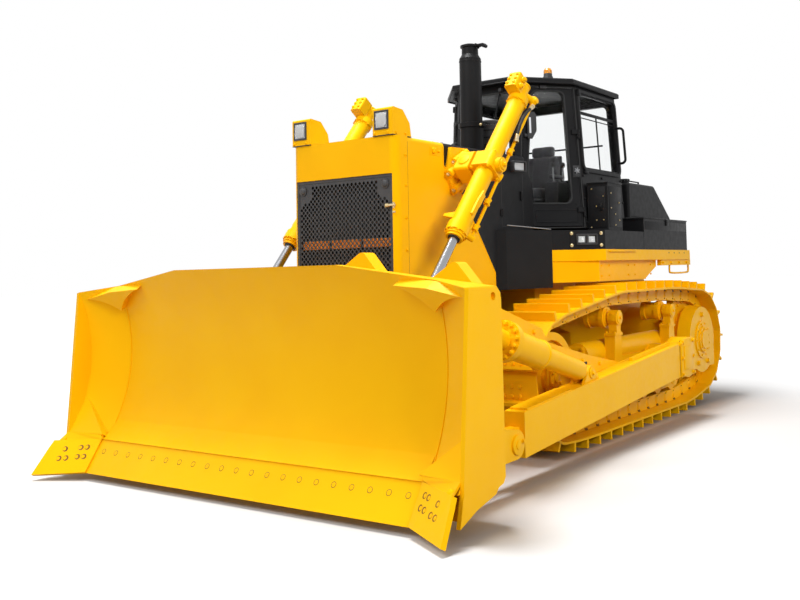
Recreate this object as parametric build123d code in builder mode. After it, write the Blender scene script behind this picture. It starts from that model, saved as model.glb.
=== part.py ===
from build123d import *

import os
from math import asin, atan2, cos, hypot, pi, radians, sin

# Crawler dozer with a straight tilting blade. Millimetres, +Z up, the blade faces -Y.
# X is positive on the operator's left. The origin is on the ground, in the middle of the machine.
os.makedirs("parts", exist_ok=True)

# ---------------------------------------------------------------- driving dimensions
# tracks
track_gauge = 2140.0
shoe_width = 560.0
shoe_count = 41
sprocket_y, sprocket_z = 2444.0, 728.0
idler_y, idler_z = -706.0, 640.0
sprocket_pitch_r = 496.0
idler_pitch_r = 470.0
link_depth = 62.0
shoe_seat = 62.0
shoe_plate = 20.0
grouser_height = 76.0
grouser_thick = 28.0
rail_width = 46.0
rail_gap = 112.0
rolling_gap = 1.0
shoe_end_gap = 4.0

# rollers and the frame that carries them
track_roller_r = 115.0
roller_width = 210.0
contact_overrun = 110.0
front_roller_y, rear_roller_y = -250.0, 1880.0
track_roller_count = 7
carrier_roller_r = 105.0
carrier_ys = (374.0, 1677.0)
carrier_z = 1096.0
carrier_lift = 7.0
frame_width = 250.0
frame_bottom_z, frame_top_z = 475.0, 765.0
recoil_r = 122.0
recoil_z = 760.0
guard_thick = 18.0
guard_bottom_z = 262.0
pedestal_width = 110.0
pedestal_length = 130.0
pedestal_top_z = 950.0

# sprocket and final drive
tooth_count = 27
tooth_tip_r = 524.0
tooth_root_r = 470.0
sprocket_width = 84.0
case_r = 392.0
case_inner_x, case_outer_x = 1188.0, 1335.0
case_foot_z = 390.0
hub_r, hub_depth = 150.0, 45.0

# push arm pivot, and the arms themselves
pivot_y, pivot_z = 1330.0, 640.0
pivot_pin_r = 80.0
arm_inner_x, arm_width = 1430.0, 180.0
arm_height = 330.0
arm_nose_y, arm_nose_z = -1850.0, 374.0
arm_rear_y = pivot_y - 60.0
tongue_play = 5.0
cap_r = 205.0
brace_rear_y, brace_rear_z = -750.0, 702.0
brace_front_y, brace_front_z = -2600.0, 1257.0
brace_eye_r, brace_eye_width = 65.0, 70.0
brace_lug, brace_lug_gap = 28.0, 80.0
brace_pin_r = 32.0
ear_thick, ear_play = 36.0, 10.0
pin_play = 0.4

# blade
blade_half = 2014.0
end_plate = 30.0
skin = 25.0
blade_top_y, blade_top_z = -2996.0, 1645.0
blade_corner_z = 1478.0
blade_flat_half = 853.0
lip_z = 279.0
blade_face_r = 1240.0
blade_face_z = 1000.0
edge_half = 1650.0
edge_low_y, edge_low_z = -3219.0, 60.0
edge_thick = 34.0
bit_tip_x, bit_tip_y, bit_tip_z = 2050.0, -3424.0, 42.0
back_y = -2690.0
seam_x = 1650.0
wing_top_y, wing_mid_y, wing_low_y = -3183.0, -2963.0, -3188.0
wing_mid_z = 966.0
hinge_y, hinge_z = -1960.0, 325.0
hinge_lug_r, hinge_pin_r = 105.0, 45.0
lug_thick = 42.0

# lift cylinders
lift_x = 915.0
lift_pivot_y, lift_pivot_z = -1235.0, 2460.0
lift_eye_y, lift_eye_z = -2426.0, 979.0
barrel_r = 80.0
barrel_above, barrel_below = 830.0, 772.0
rod_r = 37.5
bore_above, rod_start = 700.0, 320.0
eye_r, eye_width = 85.0, 96.0

# hood and radiator guard
hood_half = 573.0
hood_front_y = -2020.0
hood_top_z, hood_bottom_z = 2676.0, 1400.0
hood_rear_y = -1390.0
sheet = 14.0
guard_depth = 150.0
grille_half = 530.0
grille_top_z, grille_bottom_z = 2371.0, 1470.0
mask_corner_r = 70.0

# cab
cab_base_z, cab_eave_z = 1985.0, 3465.0
cab_corner_y, cab_rear_y = 610.0, 1520.0
cab_half_low, cab_half_high = 850.0, 761.5
cab_face_low, cab_face_high = 744.0, 652.0
cab_face_turn = 49.6
cab_wall = 50.0
roof_thick = 50.0
roof_brow, roof_eave = 95.0, 40.0
door_gap = 9.0
glass = 6.0

# platform, fenders and boxes
deck_half = 1140.0
deck_nose_half, deck_nose_y, deck_corner_y = 800.0, 0.0, 455.0
deck_bottom_z, deck_top_z = 1760.0, 1950.0
fender_rim_z = 1650.0
fender_end_y = 2630.0
skirt_bottom_z = 1445.0
skirt_half = 1080.0
skirt_thick = 12.0
skirt_corner_y, skirt_cut_y, skirt_end_y = 428.0, 1513.0, 1792.0
rear_box_y, rear_box_z = 1370.0, 2100.0
rear_box_end_y = 2570.0
tank_half = 845.0
tank_front_y, tank_rear_y, tank_top_z = 1640.0, 2809.0, 2525.0

track_x = track_gauge / 2
brace_x = arm_inner_x + arm_width / 2
sides = (1, -1)


# ---------------------------------------------------------------- shared shapes
def yz_prism(outline, x_from, x_to, mode=Mode.ADD):
    """Prism with a side-view outline of (y, z) corners, from one X to another."""
    with BuildSketch(Plane.YZ.offset(x_from)) as profile:
        with BuildLine():
            Polyline(*outline, close=True)
        make_face()
    extrude(profile.sketch, amount=x_to - x_from, mode=mode)


def xy_prism(outline, z_from, z_to, mode=Mode.ADD):
    """Prism with a plan outline of (x, y) corners, from one height to another."""
    with BuildSketch(Plane.XY.offset(z_from)) as profile:
        with BuildLine():
            Polyline(*outline, close=True)
        make_face()
    extrude(profile.sketch, amount=z_to - z_from, mode=mode)


def xz_prism(outline, y_from, y_to, mode=Mode.ADD):
    """Prism with a front-view outline of (x, z) corners, from one Y to another."""
    with BuildSketch(Plane.XZ.offset(-y_from)) as profile:
        with BuildLine():
            Polyline(*outline, close=True)
        make_face()
    extrude(profile.sketch, amount=y_from - y_to, mode=mode)


def x_disc(y, z, radius, x_from, x_to, bore=0.0, mode=Mode.ADD):
    """Round bar or ring whose axis lies along X."""
    with BuildSketch(Plane.YZ.offset(x_from)) as profile:
        with Locations((y, z)):
            Circle(radius)
            if bore:
                Circle(bore, mode=Mode.SUBTRACT)
    extrude(profile.sketch, amount=x_to - x_from, mode=mode)


def block(x_from, x_to, y_from, y_to, z_from, z_to, mode=Mode.ADD):
    """Box given by its limits."""
    with BuildSketch(Plane.XY.offset(z_from)) as profile:
        with Locations(((x_from + x_to) / 2, (y_from + y_to) / 2)):
            Rectangle(abs(x_to - x_from), abs(y_to - y_from))
    extrude(profile.sketch, amount=z_to - z_from, mode=mode)


def turned(x, y, outline):
    """Upright turned piece from the radii and heights of its outline, bottom first."""
    with BuildSketch(Plane.XZ.offset(-y)) as profile:
        with BuildLine():
            Polyline(
                (x, outline[0][1]),
                *((x + radius, z) for radius, z in outline),
                (x, outline[-1][1]),
                close=True,
            )
        make_face()
    revolve(profile.sketch, axis=Axis((x, y, 0), (0, 0, 1)))


def bar(start, end, radius, mode=Mode.ADD):
    """Round bar between two points."""
    axis = Vector(*end) - Vector(*start)
    with BuildSketch(Plane(origin=start, z_dir=axis)) as profile:
        Circle(radius)
    extrude(profile.sketch, amount=axis.length, mode=mode)


# ---------------------------------------------------------------- the belt that the track pins follow
carrier_pin_r = carrier_roller_r + carrier_lift + link_depth
bottom_pin_z = grouser_height + shoe_plate + shoe_seat
track_roller_z = bottom_pin_z + link_depth + track_roller_r + rolling_gap
bottom_pin_r = track_roller_z - bottom_pin_z
# wheels in order along the belt: y, z, radius of the pin line
belt_wheels = (
    (sprocket_y, sprocket_z, sprocket_pitch_r),
    (rear_roller_y + contact_overrun, track_roller_z, bottom_pin_r),
    (front_roller_y - contact_overrun, track_roller_z, bottom_pin_r),
    (idler_y, idler_z, idler_pitch_r),
    (carrier_ys[0], carrier_z, carrier_pin_r),
    (carrier_ys[1], carrier_z, carrier_pin_r),
)


def belt_points(wheels, count):
    """Evenly spaced (y, z) points on the belt drawn tight round the wheels."""
    leans = []
    runs = []
    for (ya, za, ra), (yb, zb, rb) in zip(wheels, wheels[1:] + wheels[:1]):
        span = hypot(yb - ya, zb - za)
        leans.append(atan2(zb - za, yb - ya) + pi / 2 - asin((ra - rb) / span))
        runs.append((span**2 - (ra - rb) ** 2) ** 0.5)
    turns = [(leans[i - 1] - leans[i]) % (2 * pi) for i in range(len(wheels))]
    total = sum(runs) + sum(turn * wheel[2] for turn, wheel in zip(turns, wheels))
    points = []
    for k in range(count):
        left = total * k / count
        for (y, z, radius), lean_in, lean_out, turn, run in zip(
            wheels, leans[-1:] + leans[:-1], leans, turns, runs
        ):
            if left < turn * radius:
                angle = lean_in - left / radius
                points.append((y + radius * cos(angle), z + radius * sin(angle)))
                break
            left -= turn * radius
            if left < run:
                start_y, start_z = y + radius * cos(lean_out), z + radius * sin(lean_out)
                points.append((start_y + left * sin(lean_out), start_z - left * cos(lean_out)))
                break
            left -= run
    return points


pins = belt_points(belt_wheels, shoe_count)


def along_track(stations):
    """(y, z) corners of an outline that repeats (u, v) stations on every link of the track."""
    corners = []
    for (ya, za), (yb, zb) in zip(pins, pins[1:] + pins[:1]):
        pitch = hypot(yb - ya, zb - za)
        ty, tz = (yb - ya) / pitch, (zb - za) / pitch
        for u, v in stations:
            corners.append(((ya + yb) / 2 + u * ty - v * tz, (za + zb) / 2 + u * tz + v * ty))
    return corners


link_pitch = hypot(pins[1][0] - pins[0][0], pins[1][1] - pins[0][1])
half_shoe = link_pitch / 2 - shoe_end_gap
plate_top = shoe_seat + shoe_plate
tip_v = plate_top + grouser_height
shoe_outline = (
    (-half_shoe, plate_top),
    (-half_shoe + grouser_thick, plate_top),
    (-half_shoe + grouser_thick, tip_v),
    (-half_shoe + 2 * grouser_thick, tip_v),
    (-half_shoe + 2 * grouser_thick, plate_top),
    (half_shoe, plate_top),
)
seat_outline = ((-half_shoe, shoe_seat), (half_shoe, shoe_seat))
half_tread = 0.38 * link_pitch
rail_outline = ((-half_tread, -link_depth), (half_tread, -link_depth))

for side_name, side in (("left", 1), ("right", -1)):
    with BuildPart() as track:
        shoe_inner_x = track_x - shoe_width / 2
        yz_prism(along_track(shoe_outline), side * shoe_inner_x, side * (shoe_inner_x + shoe_width))
        yz_prism(
            along_track(seat_outline),
            side * shoe_inner_x,
            side * (shoe_inner_x + shoe_width),
            mode=Mode.SUBTRACT,
        )
        for rail_x in (track_x - rail_gap / 2 - rail_width, track_x + rail_gap / 2):
            with BuildSketch(Plane.YZ.offset(side * rail_x)) as rail:
                with BuildLine():
                    Polyline(*along_track(((-half_shoe, plate_top - 6), (half_shoe, plate_top - 6))), close=True)
                make_face()
                with BuildLine():
                    Polyline(*along_track(rail_outline), close=True)
                make_face(mode=Mode.SUBTRACT)
            extrude(rail.sketch, amount=side * rail_width)
    track.part.label = f"track_{side_name}"
    export_step(track.part, f"parts/track_{side_name}.step")

# ---------------------------------------------------------------- rollers and idlers
idler_rim_r = (idler_pitch_r**2 - (link_pitch / 2) ** 2) ** 0.5 - link_depth - rolling_gap
roller_pitch = (rear_roller_y - front_roller_y) / (track_roller_count - 1)
roller_ys = [front_roller_y + n * roller_pitch for n in range(track_roller_count)]
flange_step = 14.0
axle_r = 38.0
guard_inner_x = track_x - frame_width / 2
guard_outer_x = track_x + frame_width / 2
carrier_outer_x = track_x + 140.0
with BuildPart() as rollers:
    for y in roller_ys:
        x_disc(y, track_roller_z, track_roller_r, track_x - roller_width / 2, track_x + roller_width / 2)
        x_disc(y, track_roller_z, axle_r, guard_inner_x, guard_outer_x)
    for y in carrier_ys:
        x_disc(y, carrier_z, carrier_roller_r, track_x - roller_width / 2, track_x - rail_gap / 2)
        x_disc(y, carrier_z, carrier_roller_r, track_x + rail_gap / 2, track_x + roller_width / 2)
        x_disc(y, carrier_z, carrier_roller_r - flange_step, track_x - rail_gap / 2, track_x + rail_gap / 2)
        x_disc(y, carrier_z, axle_r, track_x + roller_width / 2, carrier_outer_x)
    mirror(about=Plane.YZ)
rollers.part.label = "rollers"
export_step(rollers.part, "parts/rollers.step")

idler_axle_r = 60.0
idler_dish = 40.0
yoke_inner_x = track_x - frame_width / 2
yoke_outer_x = track_x + frame_width / 2
with BuildPart() as idlers:
    x_disc(idler_y, idler_z, idler_rim_r, track_x - roller_width / 2, track_x + roller_width / 2)
    for face_x, way in ((track_x - roller_width / 2, 1), (track_x + roller_width / 2, -1)):
        x_disc(
            idler_y,
            idler_z,
            idler_rim_r - 70,
            face_x,
            face_x + way * idler_dish,
            bore=idler_axle_r + 60,
            mode=Mode.SUBTRACT,
        )
    x_disc(idler_y, idler_z, idler_axle_r, yoke_inner_x, yoke_outer_x)
    mirror(about=Plane.YZ)
idlers.part.label = "idlers"
export_step(idlers.part, "parts/idlers.step")

# ---------------------------------------------------------------- track frames
frame_front_y, frame_rear_y = -180.0, 1900.0
trunnion_r = 130.0
clamp_r = 74.0
clamp_length = 96.0
post_width = 84.0
with BuildPart() as track_frames:
    yz_prism(
        (
            (frame_front_y, frame_bottom_z),
            (frame_rear_y, frame_bottom_z),
            (frame_rear_y, frame_top_z - 60),
            (frame_rear_y - 120, frame_top_z),
            (frame_front_y + 160, frame_top_z),
            (frame_front_y, frame_top_z - 90),
        ),
        guard_inner_x + guard_thick,
        guard_outer_x - guard_thick,
    )
    with BuildSketch(Plane.XZ.offset(-(frame_front_y + 120))) as recoil_housing:
        with Locations((track_x, recoil_z)):
            Circle(recoil_r)
    extrude(recoil_housing.sketch, amount=-(frame_rear_y - frame_front_y - 300))
    # side guards that hold the roller axles and the idler
    for plate_x in (guard_inner_x, guard_outer_x):
        outward = 1 if plate_x > track_x else -1
        with BuildSketch(Plane.YZ.offset(plate_x)) as guard:
            with BuildLine():
                Polyline(
                    (idler_y - 110, idler_z + 90),
                    (idler_y - 110, idler_z - 90),
                    (front_roller_y - 130, idler_z - 130),
                    (front_roller_y - 130, guard_bottom_z + 40),
                    (front_roller_y - 90, guard_bottom_z),
                    (rear_roller_y + 90, guard_bottom_z),
                    (rear_roller_y + 130, guard_bottom_z + 40),
                    (rear_roller_y + 130, frame_bottom_z + 120),
                    (rear_roller_y, frame_top_z - 60),
                    (frame_front_y, frame_top_z - 60),
                    close=True,
                )
            make_face()
            for y in roller_ys:
                with Locations((y, track_roller_z)):
                    Circle(axle_r, mode=Mode.SUBTRACT)
            with Locations((idler_y, idler_z)):
                Circle(idler_axle_r, mode=Mode.SUBTRACT)
        extrude(guard.sketch, amount=-outward * guard_thick)
    # carrier roller pedestals
    for y in carrier_ys:
        yz_prism(
            (
                (y - pedestal_length / 2 - 28, frame_bottom_z + 140),
                (y + pedestal_length / 2 + 28, frame_bottom_z + 140),
                (y + pedestal_length / 2, pedestal_top_z - 24),
                (y - pedestal_length / 2, pedestal_top_z - 24),
            ),
            guard_outer_x - guard_thick,
            guard_outer_x - guard_thick + pedestal_width,
        )
        block(
            guard_outer_x - guard_thick,
            guard_outer_x - guard_thick + pedestal_width + 12,
            y - pedestal_length / 2 - 12,
            y + pedestal_length / 2 + 12,
            pedestal_top_z - 24,
            pedestal_top_z,
        )
        block(
            carrier_outer_x,
            carrier_outer_x + clamp_length - 10,
            y - post_width / 2,
            y + post_width / 2,
            pedestal_top_z,
            carrier_z,
        )
        x_disc(y, carrier_z, clamp_r, carrier_outer_x, carrier_outer_x + clamp_length)
    # push arm pivot
    x_disc(pivot_y, pivot_z, trunnion_r, guard_outer_x - guard_thick, arm_inner_x - 20)
    x_disc(pivot_y, pivot_z, pivot_pin_r, arm_inner_x - 20, arm_inner_x + arm_width - 25)
    mirror(about=Plane.YZ)
track_frames.part.label = "track_frames"
export_step(track_frames.part, "parts/track_frames.step")

# ---------------------------------------------------------------- sprockets and final drives
sprocket_x = track_x - sprocket_width / 2
tooth_half_angle = pi / tooth_count
sprocket_bore = 200.0
with BuildPart() as sprockets:
    rim = []
    # share of a tooth's pitch, radius
    for n in range(tooth_count):
        for share, radius in ((-0.46, tooth_root_r), (-0.18, tooth_tip_r), (0.18, tooth_tip_r), (0.46, tooth_root_r)):
            angle = 2 * tooth_half_angle * (n + share)
            rim.append((sprocket_y + radius * cos(angle), sprocket_z + radius * sin(angle)))
    yz_prism(rim, sprocket_x, sprocket_x + sprocket_width)
    x_disc(sprocket_y, sprocket_z, sprocket_bore, sprocket_x, sprocket_x + sprocket_width, mode=Mode.SUBTRACT)
    mirror(about=Plane.YZ)
sprockets.part.label = "sprockets"
export_step(sprockets.part, "parts/sprockets.step")

drive_inner_x = 470.0
spider_r = 330.0
case_taper = 8.0
case_flank = case_r - 12.0
with BuildPart() as final_drives:
    # outer case: a round head on a straight-sided foot
    with BuildSketch(Plane.YZ.offset(case_inner_x)) as case_outline:
        with Locations((sprocket_y, sprocket_z)):
            Circle(case_r)
        with Locations((sprocket_y, (sprocket_z + case_foot_z) / 2)):
            Rectangle(2 * case_flank, sprocket_z - case_foot_z)
    extrude(case_outline.sketch, amount=case_outer_x - case_inner_x, taper=case_taper)
    # cover flange and stepped hub: radius, height above the case
    for radius, height in ((215, 16), (hub_r, hub_depth - 12), (hub_r - 45, hub_depth)):
        x_disc(sprocket_y, sprocket_z, radius, case_outer_x - 5, case_outer_x + height)
    x_disc(sprocket_y, sprocket_z, spider_r, sprocket_x + sprocket_width, case_inner_x)
    x_disc(sprocket_y, sprocket_z, sprocket_bore, sprocket_x, sprocket_x + sprocket_width)
    x_disc(sprocket_y, sprocket_z, spider_r + 40, drive_inner_x, sprocket_x)
    mirror(about=Plane.YZ)
final_drives.part.label = "final_drives"
export_step(final_drives.part, "parts/final_drives.step")

# ---------------------------------------------------------------- main frame and engine
hull_half = 330.0
case_half = drive_inner_x
hull_bottom_z = 520.0
hull_top_z = 840.0
equalizer_y = 250.0
tow_y = 3440.0
with BuildPart() as main_frame:
    yz_prism(
        (
            (hood_front_y + 40, hull_bottom_z + 120),
            (hood_front_y + 260, hull_bottom_z),
            (900, hull_bottom_z),
            (900, hull_top_z),
            (hood_front_y + 40, hull_top_z),
        ),
        -hull_half,
        hull_half,
    )
    yz_prism(
        (
            (900, hull_bottom_z),
            (2800, hull_bottom_z),
            (2980, 640),
            (2980, 1250),
            (2700, 1500),
            (2500, 1650),
            (200, 1650),
            (200, 1100),
            (900, 900),
        ),
        -case_half,
        case_half,
    )
    # cross beams that carry the track frames
    block(-guard_inner_x, guard_inner_x, equalizer_y - 110, equalizer_y + 110, 540, 760)
    block(-guard_inner_x, guard_inner_x, 1640, 1840, 560, 740)
    # tow bracket
    for lug_z in (700, 840):
        block(-130, 130, 2900, tow_y - 100, lug_z, lug_z + 50)
        with BuildSketch(Plane.XY.offset(lug_z)) as lug:
            with Locations((0, tow_y - 130)):
                Circle(130)
                Circle(42, mode=Mode.SUBTRACT)
        extrude(lug.sketch, amount=50)
    with BuildSketch(Plane.XY.offset(600)) as tow_hole:
        with Locations((0, tow_y - 130)):
            Circle(42)
    extrude(tow_hole.sketch, amount=400, mode=Mode.SUBTRACT)
main_frame.part.label = "main_frame"
export_step(main_frame.part, "parts/main_frame.step")

with BuildPart() as engine:
    block(-300, 300, -1500, -150, hull_top_z, 2350)
engine.part.label = "engine"
export_step(engine.part, "parts/engine.step")

# ---------------------------------------------------------------- radiator guard, grille and hood
mask_rear_y = hood_front_y + guard_depth
with BuildPart() as radiator_guard:
    block(-hood_half, hood_half, hood_front_y, mask_rear_y, hull_top_z, hood_top_z)
    fillet(
        radiator_guard.edges().filter_by(Axis.Z).group_by(Axis.Y)[0],
        radius=mask_corner_r,
    )
    block(-grille_half, grille_half, hood_front_y, mask_rear_y, grille_bottom_z, grille_top_z, mode=Mode.SUBTRACT)
radiator_guard.part.label = "radiator_guard"
export_step(radiator_guard.part, "parts/radiator_guard.step")

grille_y = hood_front_y + 12
grille_thick = 30.0
with BuildPart() as grille:
    block(-grille_half, grille_half, grille_y, grille_y + grille_thick, grille_bottom_z, grille_top_z)
grille.part.label = "grille"
export_step(grille.part, "parts/grille.step")

shoulder_r = 42.0


def hood_arch(y_from, y_to, z_low):
    """Inverted U of sheet with rounded shoulders, from one Y to another."""
    with BuildSketch(Plane.XZ.offset(-y_from)) as arch:
        for inset, mode in ((0, Mode.ADD), (sheet, Mode.SUBTRACT)):
            half, top, turn = hood_half - inset, hood_top_z - inset, shoulder_r - inset
            with BuildLine():
                FilletPolyline((-half, z_low), (-half, top), (half, top), (half, z_low), radius=turn)
                Line((half, z_low), (-half, z_low))
            make_face(mode=mode)
    extrude(arch.sketch, amount=y_from - y_to)


black_side = (
    (-640, hood_bottom_z - 5),
    (-640, 1560),
    (-1200, 2340),
    (hood_rear_y, 2480),
    (hood_rear_y, hood_top_z + 5),
)
with BuildPart() as hood:
    hood_arch(hood_rear_y, -100, hood_top_z - shoulder_r - 20)
hood.part.label = "hood"
export_step(hood.part, "parts/hood.step")

with BuildPart() as hood_sides:
    hood_arch(mask_rear_y, -640, hood_bottom_z)
    yz_prism(
        (*black_side[1:], (-600, hood_top_z + 5), (-600, 1560)),
        -hood_half - 5,
        hood_half + 5,
        mode=Mode.SUBTRACT,
    )
hood_sides.part.label = "hood_sides"
export_step(hood_sides.part, "parts/hood_sides.step")

cowl_rear_y = 38.0
with BuildPart() as cowl:
    # black side sheets behind the yellow ones, and the bulkhead below the windscreen
    yz_prism(
        (
            (hood_rear_y, 2480),
            (-1200, 2340),
            (-640, 1560),
            (-640, hood_bottom_z),
            (deck_nose_y, hood_bottom_z),
            (deck_nose_y, deck_top_z),
            (cowl_rear_y, deck_top_z),
            (cowl_rear_y, 2350),
            (-100, hood_top_z - shoulder_r - 20),
            (hood_rear_y, hood_top_z - shoulder_r - 20),
        ),
        hood_half - sheet,
        hood_half,
    )
    mirror(about=Plane.YZ)
    block(-hood_half + sheet, hood_half - sheet, -60, -40, 1660, 2350)
    yz_prism(
        ((-60, 2350), (cowl_rear_y, 2350), (-100, hood_top_z - sheet), (-130, hood_top_z - sheet)),
        -hood_half + shoulder_r,
        hood_half - shoulder_r,
    )
    for side in sides:
        xy_prism(
            (
                (side * hood_half, -620),
                (side * (hood_half + 70), -560),
                (side * deck_nose_half, deck_nose_y),
                (side * hood_half, deck_nose_y),
            ),
            hood_bottom_z,
            deck_top_z,
        )
cowl.part.label = "cowl"
export_step(cowl.part, "parts/cowl.step")

lamp_inner_x, lamp_outer_x = 351.0, 555.0
lamp_top_z = 2904.0
with BuildPart() as headlamps:
    with BuildSketch(Plane.YZ.offset(lamp_inner_x)) as lamp_side:
        with BuildLine():
            FilletPolyline(
                (-2032, hood_top_z),
                (-2032, lamp_top_z),
                (-1900, lamp_top_z - 14),
                (-1815, lamp_top_z - 114),
                (-1796, hood_top_z),
                radius=16,
            )
            Line((-1796, hood_top_z), (-2032, hood_top_z))
        make_face()
    extrude(lamp_side.sketch, amount=lamp_outer_x - lamp_inner_x)
    mirror(about=Plane.YZ)
headlamps.part.label = "headlamps"
export_step(headlamps.part, "parts/headlamps.step")

# ---------------------------------------------------------------- stack and pre-cleaner
stack_x, stack_y = 250.0, -515.0
stack_top_z = 3740.0
with BuildPart() as exhaust_stack:
    # radius, height
    turned(
        stack_x,
        stack_y,
        (
            (118, hood_top_z),
            (112, 2930),
            (123, 2935),
            (123, 2976),
            (106, 2980),
            (104, 3600),
            (80, 3640),
            (78, stack_top_z - 34),
            (92, stack_top_z - 30),
            (92, stack_top_z - 12),
            (60, stack_top_z),
        ),
    )
    # tail of the rain flap
    block(stack_x, stack_x + 170, stack_y - 28, stack_y + 28, stack_top_z - 30, stack_top_z - 12)
exhaust_stack.part.label = "exhaust_stack"
export_step(exhaust_stack.part, "parts/exhaust_stack.step")

cleaner_x, cleaner_y = 250.0, -190.0
with BuildPart() as pre_cleaner:
    # radius, height
    turned(
        cleaner_x,
        cleaner_y,
        (
            (70, hood_top_z),
            (70, 2745),
            (140, 2775),
            (140, 2985),
            (128, 2992),
            (150, 3000),
            (150, 3022),
            (110, 3040),
            (40, 3046),
        ),
    )
pre_cleaner.part.label = "pre_cleaner"
export_step(pre_cleaner.part, "parts/pre_cleaner.step")

# ---------------------------------------------------------------- deck, fenders, boxes and tank
with BuildPart() as deck:
    xy_prism(
        (
            (-deck_nose_half, deck_nose_y),
            (deck_nose_half, deck_nose_y),
            (deck_half, deck_corner_y),
            (deck_half, rear_box_y),
            (tank_half, rear_box_y),
            (tank_half, fender_end_y),
            (-tank_half, fender_end_y),
            (-tank_half, rear_box_y),
            (-deck_half, rear_box_y),
            (-deck_half, deck_corner_y),
        ),
        deck_bottom_z,
        deck_top_z,
    )
deck.part.label = "deck"
export_step(deck.part, "parts/deck.step")

with BuildPart() as fenders:
    xy_prism(
        (
            (case_half, deck_nose_y),
            (deck_nose_half, deck_nose_y),
            (deck_half + 8, deck_corner_y - 4),
            (deck_half + 8, fender_end_y),
            (case_half, fender_end_y),
        ),
        fender_rim_z,
        deck_bottom_z,
    )
    # recessed skirt below the rim
    xy_prism(
        (
            (deck_nose_half - 13, deck_nose_y),
            (skirt_half, skirt_corner_y),
            (skirt_half, skirt_end_y),
            (skirt_half - skirt_thick, skirt_end_y),
            (skirt_half - skirt_thick, skirt_corner_y + 5),
            (deck_nose_half - 28, deck_nose_y),
        ),
        skirt_bottom_z,
        fender_rim_z,
    )
    yz_prism(
        (
            (skirt_cut_y, skirt_bottom_z - 5),
            (skirt_cut_y, skirt_bottom_z + 10),
            (skirt_cut_y + 120, skirt_bottom_z + 66),
            (skirt_end_y + 5, skirt_bottom_z + 135),
            (skirt_end_y + 5, skirt_bottom_z - 5),
        ),
        skirt_half - 50,
        skirt_half + 20,
        mode=Mode.SUBTRACT,
    )
    # rear step bracket below the rim
    block(skirt_half, skirt_half + 50, 1824, 2679, 1586, fender_rim_z)
    mirror(about=Plane.YZ)
fenders.part.label = "fenders"
export_step(fenders.part, "parts/fenders.step")

with BuildPart() as boxes:
    block(cab_half_low + 10, deck_half, rear_box_y, rear_box_end_y, deck_bottom_z, rear_box_z)
    block(cab_half_low + 10, 1090, 640, 960, deck_top_z, 2440)
    mirror(about=Plane.YZ)
boxes.part.label = "boxes"
export_step(boxes.part, "parts/boxes.step")

with BuildPart() as fuel_tank:
    with BuildSketch(Plane.YZ.offset(-tank_half)) as tank_side:
        with BuildLine():
            FilletPolyline(
                (tank_front_y, deck_top_z),
                (tank_rear_y, deck_top_z),
                (tank_rear_y, 2160),
                (2347, tank_top_z),
                (tank_front_y, tank_top_z),
                radius=55,
                close=True,
            )
        make_face()
    extrude(tank_side.sketch, amount=2 * tank_half)
    tank_ends = fuel_tank.faces().group_by(Axis.X)
    fillet(tank_ends[0].edges() + tank_ends[-1].edges(), radius=30)
    turned(745, 1745, ((58, tank_top_z - 10), (58, tank_top_z + 34), (46, tank_top_z + 46)))
fuel_tank.part.label = "fuel_tank"
export_step(fuel_tank.part, "parts/fuel_tank.step")

# ---------------------------------------------------------------- cab
cab_rise = cab_eave_z - cab_base_z
face_way = Vector(cos(radians(cab_face_turn)), sin(radians(cab_face_turn)), 0)


def cab_half(z):
    """Half width of the cab at a height; its sides lean inwards."""
    return cab_half_low + (cab_half_high - cab_half_low) * (z - cab_base_z) / cab_rise


def cab_plan(z):
    """Left half of the cab's plan at a height: front corner, side corner, rear corner."""
    face = cab_face_low + (cab_face_high - cab_face_low) * (z - cab_base_z) / cab_rise
    side_corner = Vector(cab_half(z), cab_corner_y, z)
    return side_corner - face_way * face, side_corner, Vector(cab_half(z), cab_rear_y, z)


def cab_solid(inset, z_from, z_to, mode=Mode.ADD):
    """Leaning six-sided body between two heights, moved in by a wall."""
    levels = []
    for z in (z_from, z_to):
        left = [(corner.X, corner.Y) for corner in cab_plan(z)]
        right = [(-x, y) for x, y in reversed(left)]
        with BuildSketch(Plane.XY.offset(z)) as level:
            with BuildLine():
                Polyline(*left, *right, close=True)
            make_face()
            if inset:
                offset(amount=-inset, kind=Kind.INTERSECTION)
        levels.append(level.sketch)
    loft(levels, ruled=True, mode=mode)


def wall_plane(low_a, low_b, high_a):
    """Plane of a wall through two low corners and one high one, x along the low edge, z outwards."""
    along = (low_b - low_a).normalized()
    return Plane(origin=low_a, x_dir=along, z_dir=along.cross(high_a - low_a))


front_low, side_low, rear_low = cab_plan(cab_base_z)
front_high, side_high, rear_high = cab_plan(cab_eave_z)
mirrored_front_low = Vector(-front_low.X, front_low.Y, front_low.Z)
door_plane = wall_plane(front_low, side_low, front_high)
side_plane = wall_plane(side_low, rear_low, side_high)
front_plane = wall_plane(mirrored_front_low, front_low, front_high)


def on_wall(plane, along, z):
    """Place on a wall's plane: distance along its low edge, and height above the ground."""
    return along, (z - cab_base_z) / plane.y_dir.Z


rear_lean = (cab_half_low - cab_half_high) / cab_rise * face_way.X
door_low_z, door_high_z = 1996.0, 3435.0
door_cut_z = 2450.0
door_front_low, door_front_high, door_foot = 76.0, 118.0, 175.0


def door_outline(margin):
    """Corners of the door on its wall, moved in by a margin; the lower front corner is cut."""
    low, high = door_low_z + margin, door_high_z - margin
    rear_at_low = cab_face_low - 16 - margin
    rear_at_high = rear_at_low - rear_lean * (high - low)
    return [
        on_wall(door_plane, door_foot + margin, low),
        on_wall(door_plane, rear_at_low, low),
        on_wall(door_plane, rear_at_high, high),
        on_wall(door_plane, door_front_high + margin, high),
        on_wall(door_plane, door_front_low + margin, door_cut_z + margin),
    ]


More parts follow.
